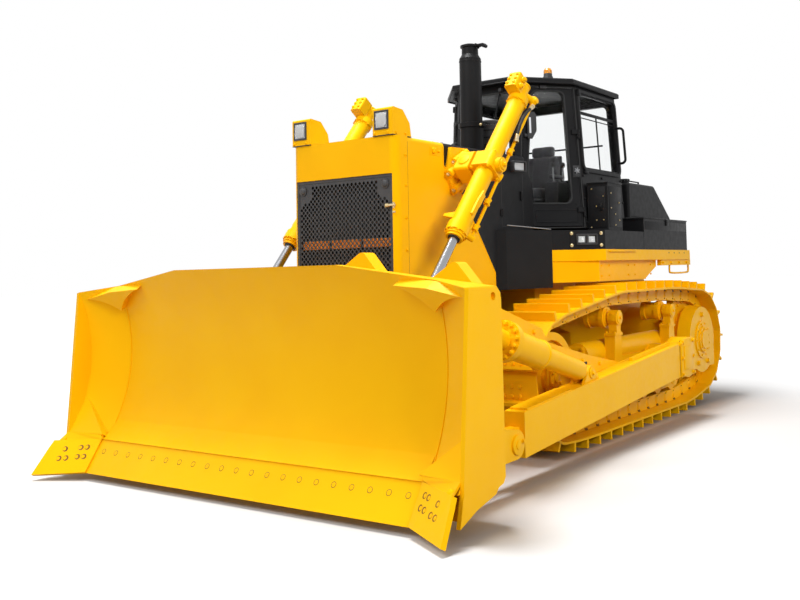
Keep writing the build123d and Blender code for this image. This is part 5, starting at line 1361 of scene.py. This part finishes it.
def swollen(name, size, edge, cap):
    """Cushion mesh of a size in millimetres about its own middle: a rounded pad blown up by cloth pressure."""
    bm = bmesh.new()
    bmesh.ops.create_cube(bm, size=1, matrix=Matrix.Diagonal((*(Vector(size) * MM * UNFILLED), 1)))
    round_edges(bm, list(bm.edges), edge, segments=3)
    mesh = bpy.data.meshes.new(name)
    bm.to_mesh(mesh)
    bm.free()
    holder = bpy.data.objects.new(name, mesh)
    bpy.context.collection.objects.link(holder)
    scene = bpy.context.scene

    def baked():
        """Mesh of the holder with its modifiers applied."""
        graph = bpy.context.evaluated_depsgraph_get()
        done = bpy.data.meshes.new_from_object(holder.evaluated_get(graph))
        holder.modifiers.clear()
        return done

    remesh = holder.modifiers.new("even", "REMESH")
    remesh.mode, remesh.voxel_size = "VOXEL", CLOTH_VOXEL
    holder.data = baked()
    start = [v.co.copy() for v in holder.data.vertices]
    cloth = holder.modifiers.new("fill", "CLOTH")
    cloth.settings.use_pressure = True
    cloth.settings.uniform_pressure_force = 4.0
    cloth.settings.effector_weights.gravity = 0.0
    cloth.point_cache.frame_start, cloth.point_cache.frame_end = 1, CLOTH_FRAMES
    for number in range(1, CLOTH_FRAMES + 1):
        scene.frame_set(number)
    blown = baked()
    for vertex, place in zip(blown.vertices, start):
        shift = vertex.co - place
        if shift.length > cap * MM:
            vertex.co = place + shift.normalized() * cap * MM
    holder.data = blown
    scene.frame_set(1)
    smooth = holder.modifiers.new("round", "SUBSURF")
    smooth.levels = smooth.render_levels = 1
    done = baked()
    bpy.data.objects.remove(holder)
    return done


def sew_channels(mesh, lines, along, depth):
    """Presses sewn channels across a cushion at the given places along one of its axes; they fade over 9 mm."""
    for vertex in mesh.vertices:
        near = min(abs(vertex.co[along] / MM - line) for line in lines)
        press = depth * MM * 2.718 ** (-((near / 9.0) ** 2))
        if abs(vertex.normal[along]) < 0.7:
            vertex.co -= vertex.normal * press


def build_seat():
    """Operator's seat: three cushions in woven cloth on a pan and suspension, with armrests."""
    cushions = (
        ("seat_cushion", (500, 480, 120), 40, (0, 1005, 2392), 0.0, 0, (-110, 110)),
        ("seat_back", (470, 100, 440), 34, (0, 1215, 2640), radians(-4), 0, (-105, 105)),
        ("seat_headrest", (300, 90, 130), 30, (0, 1230, 2890), radians(-4), 0, (0,)),
    )
    for name, size, edge, place, lean, along, lines in cushions:
        mesh = swollen(name, size, edge, size_mm("cushion_swell"))
        sew_channels(mesh, lines, along, 7)
        mesh.transform(Matrix.Translation(Vector(place) * MM) @ Matrix.Rotation(lean, 4, "X"))
        piece = add_mesh(mesh, name, "woven_cloth", smooth=180)
    pan = bmesh.new()
    add_slab(pan, (-255, 765, 2300), (255, 1262, 2338), edge=12)
    add_slab(pan, (-170, 820, 2035), (170, 1200, 2090), edge=10)
    for n in range(6):
        inset = 8 * (n % 2)
        add_slab(pan, (-150 + inset, 850 + inset, 2090 + n * 35), (150 - inset, 1180 - inset, 2125 + n * 35), edge=8)
    add_slab(pan, (-215, 1252, 2400), (215, 1285, 2840), edge=14)
    for x in (-90, 74):
        add_slab(pan, (x, 1245, 2840), (x + 16, 1265, 2890), edge=3)
    base = add_piece(pan, "seat_pan", "moulded_abs", smooth=40)
    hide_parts("seat")
    rests = bmesh.new()
    for x in (-290, 250):
        add_slab(rests, (x, 900, 2560), (x + 44, 1190, 2604), edge=14)
        add_slab(rests, (x + 12, 1150, 2420), (x + 32, 1180, 2570), edge=4)
    add_piece(rests, "armrests", "moulded_abs", smooth=40)


def build_levers():
    """Levers, knobs, dash and grab bar inside the cab."""
    chrome, knobs, dash = bmesh.new(), bmesh.new(), bmesh.new()
    for x, y, lean in ((400, 760, 0.12), (440, 900, 0.05), (-380, 780, 0.08), (-430, 900, 0.05)):
        way = Vector((0, -lean, 1)).normalized()
        foot = Vector((x, y, 2478))
        add_disc(chrome, foot, way, 8, 200, segments=12)
        add_disc(dash, foot, (0, 0, 1), 34, 34, segments=20, top=14, edge=3)
        made = bmesh.ops.create_uvsphere(knobs, u_segments=16, v_segments=10, radius=24 * MM)
        bmesh.ops.scale(knobs, verts=made["verts"], vec=(1, 1, 1.3))
        bmesh.ops.translate(knobs, verts=made["verts"], vec=(foot + way * 205) * MM)
    # instrument panel behind the windscreen, with its hood
    add_slab(dash, (-300, 150, 2035), (300, 330, 2420), edge=20)
    add_slab(dash, (-300, 140, 2420), (300, 360, 2450), edge=10)
    add_slab(dash, (-280, 340, 2060), (-150, 420, 2090), edge=8)
    add_slab(dash, (150, 340, 2060), (280, 420, 2090), edge=8)
    add_slab(dash, (320, 700, 2478), (480, 1200, 2492), edge=6)
    add_slab(dash, (-480, 700, 2478), (-320, 1200, 2492), edge=6)
    add_piece(chrome, "lever_rods", "hard_chrome", smooth=40)
    add_piece(knobs, "lever_knobs", "moulded_abs", smooth=60)
    add_piece(dash, "dash_and_gaiters", "moulded_abs", smooth=40)
    add_tube(
        "cab_grab_bar",
        [(-640, 1440, 2930), (0, 1440, 2930), (640, 1440, 2930)],
        10,
        "black_enamel",
        straight=True,
    )


# ---------------------------------------------------------------- platform, boxes and tank
def build_deck_lamps():
    """Lamp panels on the slanted corners of the platform, with the trim strip of its nose."""
    for side_name, side in SIDES:
        panel, frame_bm, bolts = bmesh.new(), bmesh.new(), bmesh.new()
        add_slab(panel, (190, 28, 0), (536, 172, 6), edge=2)
        add_frame(frame_bm, ((250, 46), (478, 46), (478, 152), (250, 152)), 16, -16, 5, 26, edge=4)
        add_slab(frame_bm, (356, 60, 5), (372, 138, 22), edge=2)
        for u in (204, 522):
            for v in (42, 158):
                add_bolt(bolts, (u, v, 6), (0, 0, 1), 24)
        glass_bm, back, strips = bmesh.new(), bmesh.new(), bmesh.new()
        add_slab(back, (262, 58, 5), (466, 140, 9))
        for u in (262, 372):
            add_slab(glass_bm, (u, 58, 12), (u + 94, 140, 19), edge=3)
        # one pale strip behind each glass stands for the reflector; its brightness is a painted reflection
        for u in (276, 386):
            add_slab(strips, (u, 70, 9), (u + 66, 128, 11), edge=0.8)
        for bm in (panel, frame_bm, bolts, glass_bm, back, strips):
            lay_on(bm, DECK_WALL, side)
        add_piece(panel, f"lamp_panel_{side_name}", "black_enamel")
        add_piece(frame_bm, f"work_lamp_frame_{side_name}", "moulded_abs", smooth=40)
        add_piece(bolts, f"lamp_panel_bolts_{side_name}", "zinc_plate")
        add_piece(back, f"work_lamp_back_{side_name}", "moulded_abs")
        add_piece(strips, f"work_lamp_reflector_{side_name}", "milky_polycarbonate")
        add_piece(glass_bm, f"work_lamp_lens_{side_name}", "toughened_glass")
        # lamp on the cowl's side, in a deep frame
        cowl = bmesh.new()
        frame_at = (
            Matrix.Translation(Vector((side * 606, -290, 2556)) * MM)
            @ Matrix.Rotation(side * pi / 2 * 0.8, 4, "Z")
            @ Matrix.Rotation(pi / 2, 4, "X")
        )
        add_frame(cowl, ((-80, -52), (80, -52), (80, 52), (-80, 52)), 14, -14, 0, 52, edge=4)
        add_slab(cowl, (-70, -44, 0), (70, 44, 22), edge=4)
        bmesh.ops.transform(cowl, matrix=frame_at, verts=cowl.verts)
        add_piece(cowl, f"cowl_lamp_frame_{side_name}", "moulded_abs", smooth=40)
        lens = bmesh.new()
        add_slab(lens, (-62, -36, 24), (62, 36, 32), edge=4)
        bmesh.ops.transform(lens, matrix=frame_at, verts=lens.verts)
        add_piece(lens, f"cowl_lamp_lens_{side_name}", "fluted_lens")
        strip = mirrored([(646, -545, 1992), (797, -12, 1960)], side)
        add_tube(f"deck_nose_strip_{side_name}", strip, 5, "anodised_aluminium", straight=True)


def build_body_trim():
    """Handle bars, rods, box lids, hinges and bolts on fenders, boxes and tank."""
    for side_name, side in SIDES:
        dark, bolts, lids = bmesh.new(), bmesh.new(), bmesh.new()
        out = (side, 0, 0)
        # bar along the fender's rim, and its two feet
        bar_line = [(1149, 500, 1741), (1168, 512, 1741), (1168, 1100, 1741), (1149, 1112, 1741)]
        add_tube(f"fender_bar_{side_name}", mirrored(bar_line, side), 7, "yellow_enamel", straight=True)
        # loop rod below the rear bracket
        bends = ((2110, 1590), (2100, 1520), (2130, 1496), (2640, 1496), (2672, 1520), (2664, 1590))
        rod = [(1105, y, z) for y, z in bends]
        add_tube(f"step_rod_{side_name}", mirrored(rod, side), 11, "yellow_enamel")
        # four holes in the rim, drawn as dark discs: painted shade
        for y in (2009, 2157, 2305, 2452):
            add_disc(dark, (side * 1147.5, y, 1727), out, 9, 1.5, segments=12)
        # rim: lip along its lower edge, and bolts
        add_slab(lids, (side * 1140, 470, 1650), (side * 1150, 2620, 1662), edge=2)
        for y in (1870, 2100, 2330, 2560):
            add_bolt(bolts, (side * 1130, y, 1618), out, 24)
        # skirt: flange bolts
        for y in (480, 640, 1080, 1240, 1640):
            for z in (1500, 1600):
                add_bolt(bolts, (side * 1080, y, z), out, 16)
        add_piece(dark, f"rim_holes_{side_name}", "nitrile_rubber")
        add_piece(bolts, f"fender_bolts_{side_name}", "yellow_enamel")
        add_piece(lids, f"rim_lip_{side_name}", "yellow_enamel")
        # rear box: overhanging lid, hinges, hasp, side panel with a pressed border
        black, bare = bmesh.new(), bmesh.new()
        add_slab(black, (side * 852, 1362, 2090), (side * 1146, 2578, 2106), edge=4)
        add_slab(black, (side * 1139, 1400, 1975), (side * 1143, 2540, 2068), edge=2)
        for y in (1560, 2380):
            add_slab(black, (side * 858, y - 60, 2104), (side * 930, y + 60, 2114), edge=4)
            add_disc(black, (side * 862, y - 60, 2112), (0, 1, 0), 10, 120, segments=12)
        add_slab(black, (side * 1140, 1950, 2030), (side * 1156, 2010, 2100), edge=5)
        # side box: lid, door panel, light bolts
        add_slab(black, (side * 852, 632, 2430), (side * 1096, 968, 2446), edge=4)
        add_slab(black, (side * 1089, 665, 1985), (side * 1094, 935, 2400), edge=2)
        add_slab(black, (side * 885, 635, 1985), (side * 1065, 640.5, 2400), edge=2)
        for y, z in ((700, 2180), (700, 2330), (880, 2240), (880, 2060), (790, 2120), (790, 2010)):
            add_bolt(bare, (side * 1094, y, z), out, 11)
        for x, z in ((910, 2380), (1040, 2300), (960, 2060), (1040, 2060), (960, 2200), (900, 1990)):
            add_bolt(bare, (side * x, 635, z), (0, -1, 0), 11)
        add_slab(black, (side * 1000, 622, 2160), (side * 1030, 640, 2230), edge=4)
        add_disc(black, (side * 1015, 622, 2195), (0, -1, 0), 14, 12, segments=16, edge=3)
        # treads on the platform's rim
        for n in range(6):
            add_slab(black, (side * 1020, 480 + n * 24, 1949), (side * 1120, 488 + n * 24, 1954))
        # joint in the platform's side
        add_slab(black, (side * 1138.5, 1362, 1762), (side * 1141.5, 1366, 1948))
        add_piece(black, f"box_hardware_{side_name}", "black_enamel", smooth=40)
        add_piece(bare, f"box_bolts_{side_name}", "zinc_plate")
        # tank: hand rail, bolts, ledge along its side and rear lamp
        rail = [(700, 1850, 2520), (700, 1850, 2568), (700, 2220, 2568), (700, 2220, 2520)]
        add_tube(f"tank_rail_{side_name}", mirrored(rail, side), 11, "black_enamel", straight=True)
        tank = bmesh.new()
        for y, z in ((2300, 1990), (2760, 1990), (2760, 2110)):
            add_bolt(tank, (side * 845, y, z), out, 26)
        add_slab(tank, (side * 843, 1700, 2140), (side * 849, 2700, 2148), edge=1)
        add_disc(tank, (side * 500, 2809, 2060), (0, 1, 0), 70, 16, segments=36, edge=5)
        add_piece(tank, f"tank_hardware_{side_name}", "black_enamel", smooth=40)
        tail = bmesh.new()
        add_disc(tail, (side * 500, 2825, 2060), (0, 1, 0), 56, 8, segments=32, top=48, edge=2)
        add_piece(tail, f"rear_lamp_{side_name}", "fluted_lens", smooth=40)
    # grip of the filler cap
    cap = bmesh.new()
    add_disc(cap, (745, 1745, 2560), (0, 0, 1), 60, 12, segments=40, edge=4)
    for spot in ring_places((745, 1745, 2555), (0, 0, 1), 58, 12):
        add_slab(cap, spot - Vector((6, 6, 12)), spot + Vector((6, 6, 14)), edge=3)
    add_piece(cap, "filler_cap_grip", "moulded_abs", smooth=40)


# ---------------------------------------------------------------- stage
def add_camera():
    """Camera at eye height off the machine's front left corner."""
    camera = bpy.data.objects.new("camera", bpy.data.cameras.new("camera"))
    bpy.context.collection.objects.link(camera)
    turn, tip, roll = radians(32.32), radians(-3.42), radians(-1.45)
    back = Vector((sin(turn) * cos(tip), -cos(turn) * cos(tip), sin(tip)))
    right = (-back).cross(Vector((0, 0, 1))).normalized()
    up = right.cross(-back)
    level = Matrix((right, up, back)).transposed()
    eye = (5.171, -7.471, 1.586)
    camera.matrix_world = Matrix.Translation(eye) @ (level @ Matrix.Rotation(roll, 3, "Z")).to_4x4()
    camera.data.sensor_width = 36.0
    camera.data.lens = 40.52
    camera.data.shift_x, camera.data.shift_y = -0.15, -0.106
    bpy.context.scene.camera = camera


def add_lamp(name, place, target, size, watts, mirrored_in_gloss=True):
    """Soft rectangular lamp aimed at a point; a fill lamp may stay out of glossy reflections."""
    lamp = bpy.data.objects.new(name, bpy.data.lights.new(name, "AREA"))
    lamp.data.shape, lamp.data.size, lamp.data.size_y, lamp.data.energy = "RECTANGLE", size, size, watts
    aim = (Vector(target) - Vector(place)).to_track_quat("-Z", "Y")
    lamp.matrix_world = Matrix.Translation(place) @ aim.to_matrix().to_4x4()
    lamp.visible_glossy = mirrored_in_gloss
    bpy.context.collection.objects.link(lamp)
    return lamp


def background_rays(tree):
    """1 where a ray comes from the camera, a mirror or glass, and 0 where it lights the object."""
    path = add_node(tree, "ShaderNodeLightPath")
    seen = add_node(
        tree,
        "ShaderNodeMath",
        {"operation": "MAXIMUM"},
        {0: path.outputs["Is Camera Ray"], 1: path.outputs["Is Transmission Ray"]},
    )
    both = add_node(
        tree, "ShaderNodeMath", {"operation": "MAXIMUM"}, {0: seen.outputs[0], 1: path.outputs["Is Glossy Ray"]}
    )
    return both.outputs[0]


def light_world():
    """Even daylight for the object, and plain white behind it."""
    world = bpy.data.worlds.new("studio")
    world.use_nodes = True
    tree = world.node_tree
    tree.nodes.clear()
    light = add_node(tree, "ShaderNodeBackground", {"Color": linear("#FFFFFF"), "Strength": 0.3})
    white = add_node(tree, "ShaderNodeBackground", {"Color": linear("#FFFFFF"), "Strength": 1.0})
    mix = add_node(
        tree,
        "ShaderNodeMixShader",
        None,
        {"Fac": background_rays(tree), 1: light.outputs[0], 2: white.outputs[0]},
    )
    add_node(tree, "ShaderNodeOutputWorld", None, {"Surface": mix.outputs[0]})
    bpy.context.scene.world = world


def white_floor():
    """Matt white sweep: rays back see it white, other rays a pale grey that throws less light up at the object."""
    material = bpy.data.materials.new("white paper sweep")
    material.use_nodes = True
    tree = material.node_tree
    tree.nodes.clear()
    seen = background_rays(tree)
    tone = add_node(tree, "ShaderNodeMapRange", {"To Min": 0.4, "To Max": 0.86}, {"Value": seen})
    paper = add_node(tree, "ShaderNodeBsdfDiffuse", None, {"Color": tone.outputs[0]})
    # the lamps fade with distance, so the sweep makes up for it away from the object
    place = add_node(tree, "ShaderNodeTexCoord")
    away = add_node(tree, "ShaderNodeVectorMath", {"operation": "LENGTH"}, {0: place.outputs["Object"]})
    fade = add_node(
        tree,
        "ShaderNodeMapRange",
        {"From Min": 3.2, "From Max": 7.8, "To Min": 0.0, "To Max": 0.85, "interpolation_type": "SMOOTHSTEP"},
        {"Value": away.outputs["Value"]},
    )
    share = add_node(tree, "ShaderNodeMath", {"operation": "MULTIPLY"}, {0: seen, 1: fade.outputs[0]})
    glow = add_node(tree, "ShaderNodeEmission", {"Color": linear("#FFFFFF")}, {"Strength": share.outputs[0]})
    both = add_node(tree, "ShaderNodeAddShader", None, {0: paper.outputs[0], 1: glow.outputs[0]})
    add_node(tree, "ShaderNodeOutputMaterial", None, {"Surface": both.outputs[0]})
    return material


def build_stage():
    """Floor, world, lamps and camera."""
    bm = bmesh.new()
    bmesh.ops.create_grid(bm, x_segments=1, y_segments=1, size=90)
    mesh = bpy.data.meshes.new("floor")
    bm.to_mesh(mesh)
    bm.free()
    floor = bpy.data.objects.new("floor", mesh)
    mesh.materials.append(white_floor())
    bpy.context.collection.objects.link(floor)
    light_world()
    add_lamp("key lamp", (-1.5, -11.0, 10.0), (0, -1.5, 1.0), 5.0, 540)
    add_lamp("overhead lamp", (-1.2, -2.0, 12.0), (0, -0.5, 0.0), 4.0, 1450)
    fills = (
        add_lamp("front fill", (1.5, -14.0, 4.0), (0, -2.0, 1.2), 5.0, 270, False),
        add_lamp("side fill", (11.5, -4.5, 7.0), (0, 0.5, 1.0), 5.0, 1080, False),
    )
    # the fills leave the floor alone, so that it keeps the object's shadow
    left_out = bpy.data.collections.new("out of the fills")
    left_out.objects.link(floor)
    for lamp in fills:
        lamp.light_linking.receiver_collection = left_out
    left_out.collection_objects[0].light_linking.link_state = "EXCLUDE"
    add_camera()
    bpy.context.scene.view_settings.view_transform = "Standard"


# ---------------------------------------------------------------- operators and panel
class DOZER_OT_finishes(bpy.types.Operator):
    """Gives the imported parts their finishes"""

    bl_idname = "dozer.finishes"
    bl_label = "Finishes"

    def execute(self, context):
        paint_nodes()
        return {"FINISHED"}


class DOZER_OT_track_links(bpy.types.Operator):
    """Adds link plates, pins and shoe bolts to both tracks"""

    bl_idname = "dozer.track_links"
    bl_label = "Track links"

    def execute(self, context):
        build_track_links()
        return {"FINISHED"}


class DOZER_OT_undercarriage(bpy.types.Operator):
    """Adds caps and bolts to rollers, idlers and final drives"""

    bl_idname = "dozer.undercarriage"
    bl_label = "Undercarriage bolts"

    def execute(self, context):
        build_undercarriage_bolts()
        return {"FINISHED"}


class DOZER_OT_edge_bolts(bpy.types.Operator):
    """Adds the plough bolts of cutting edge and end bits"""

    bl_idname = "dozer.edge_bolts"
    bl_label = "Edge bolts"

    def execute(self, context):
        build_edge_bolts()
        return {"FINISHED"}


class DOZER_OT_blade_lip(bpy.types.Operator):
    """Adds the lip over the cutting edge and the seats of the end bits"""

    bl_idname = "dozer.blade_lip"
    bl_label = "Blade lip"

    def execute(self, context):
        build_blade_lip()
        return {"FINISHED"}


class DOZER_OT_blade_welds(bpy.types.Operator):
    """Adds weld beads, pin heads and keepers to the blade"""

    bl_idname = "dozer.blade_welds"
    bl_label = "Blade welds and pins"

    def execute(self, context):
        build_blade_welds()
        return {"FINISHED"}


class DOZER_OT_arms(bpy.types.Operator):
    """Adds covers, bolts and welds to the push arms and braces"""

    bl_idname = "dozer.arms"
    bl_label = "Push arms"

    def execute(self, context):
        build_arm_details()
        return {"FINISHED"}


class DOZER_OT_grille(bpy.types.Operator):
    """Adds the punched grille, its frame and what lies behind it"""

    bl_idname = "dozer.grille"
    bl_label = "Grille"

    def execute(self, context):
        build_grille()
        return {"FINISHED"}


class DOZER_OT_headlamps(bpy.types.Operator):
    """Adds lens, bezel and bolts to the headlamps"""

    bl_idname = "dozer.headlamps"
    bl_label = "Headlamps"

    def execute(self, context):
        build_headlamps()
        return {"FINISHED"}


class DOZER_OT_lift_fittings(bpy.types.Operator):
    """Adds hoses, clamps, ports and bolts to the lift cylinders"""

    bl_idname = "dozer.lift_fittings"
    bl_label = "Lift cylinders"

    def execute(self, context):
        build_lift_fittings()
        return {"FINISHED"}


class DOZER_OT_hood(bpy.types.Operator):
    """Adds joints, latches and bolts to the hood"""

    bl_idname = "dozer.hood"
    bl_label = "Hood"

    def execute(self, context):
        build_hood_details()
        return {"FINISHED"}


class DOZER_OT_stack(bpy.types.Operator):
    """Adds bands, vanes and clamps to stack and pre-cleaner"""

    bl_idname = "dozer.stack"
    bl_label = "Stack and pre-cleaner"

    def execute(self, context):
        build_stack_details()
        return {"FINISHED"}


class DOZER_OT_cab(bpy.types.Operator):
    """Adds seals, window frames, wipers, locks and mirrors to the cab"""

    bl_idname = "dozer.cab"
    bl_label = "Cab trim"

    def execute(self, context):
        build_cab_trim()
        return {"FINISHED"}


class DOZER_OT_beacon(bpy.types.Operator):
    """Adds foot, ribs and lamp to the beacon"""

    bl_idname = "dozer.beacon"
    bl_label = "Beacon"

    def execute(self, context):
        build_beacon()
        return {"FINISHED"}


class DOZER_OT_seat(bpy.types.Operator):
    """Adds the cushions, pan and armrests of the seat"""

    bl_idname = "dozer.seat"
    bl_label = "Seat"

    def execute(self, context):
        build_seat()
        return {"FINISHED"}


class DOZER_OT_levers(bpy.types.Operator):
    """Adds levers, dash and grab bar inside the cab"""

    bl_idname = "dozer.levers"
    bl_label = "Levers"

    def execute(self, context):
        build_levers()
        return {"FINISHED"}


class DOZER_OT_deck_lamps(bpy.types.Operator):
    """Adds lamp panels to the platform and lamps to the cowl"""

    bl_idname = "dozer.deck_lamps"
    bl_label = "Platform lamps"

    def execute(self, context):
        build_deck_lamps()
        return {"FINISHED"}


class DOZER_OT_body_trim(bpy.types.Operator):
    """Adds bars, lids, hinges and bolts to fenders, boxes and tank"""

    bl_idname = "dozer.body_trim"
    bl_label = "Body trim"

    def execute(self, context):
        build_body_trim()
        return {"FINISHED"}


class DOZER_OT_stage(bpy.types.Operator):
    """Adds floor, lamps, world and camera"""

    bl_idname = "dozer.stage"
    bl_label = "Stage"

    def execute(self, context):
        build_stage()
        return {"FINISHED"}


OPERATORS = (
    DOZER_OT_finishes,
    DOZER_OT_track_links,
    DOZER_OT_undercarriage,
    DOZER_OT_edge_bolts,
    DOZER_OT_blade_lip,
    DOZER_OT_blade_welds,
    DOZER_OT_arms,
    DOZER_OT_grille,
    DOZER_OT_headlamps,
    DOZER_OT_lift_fittings,
    DOZER_OT_hood,
    DOZER_OT_stack,
    DOZER_OT_cab,
    DOZER_OT_beacon,
    DOZER_OT_seat,
    DOZER_OT_levers,
    DOZER_OT_deck_lamps,
    DOZER_OT_body_trim,
    DOZER_OT_stage,
)


class DOZER_PT_panel(bpy.types.Panel):
    """Lists the sizes, colours and pieces"""

    bl_label = "Dozer"
    bl_space_type = "VIEW_3D"
    bl_region_type = "UI"
    bl_category = "Dozer"

    def draw(self, context):
        for group in (context.scene.dozer_sizes, context.scene.dozer_colours):
            box = self.layout.box()
            for name in group.__annotations__:
                box.prop(group, name)
        for operator in OPERATORS:
            self.layout.operator(operator.bl_idname)


CLASSES = (DozerSizes, DozerColours, *OPERATORS, DOZER_PT_panel)


def register():
    """Adds the classes, and the sizes and colours to every scene."""
    for cls in CLASSES:
        bpy.utils.register_class(cls)
    bpy.types.Scene.dozer_sizes = bpy.props.PointerProperty(type=DozerSizes)
    bpy.types.Scene.dozer_colours = bpy.props.PointerProperty(type=DozerColours)


def unregister():
    """Takes away what register added."""
    del bpy.types.Scene.dozer_colours
    del bpy.types.Scene.dozer_sizes
    for cls in reversed(CLASSES):
        bpy.utils.unregister_class(cls)


def main():
    """Builds everything in the panel's order."""
    register()
    for operator in OPERATORS:
        group, name = operator.bl_idname.split(".")
        getattr(getattr(bpy.ops, group), name)()


if __name__ == "__main__":
    main()
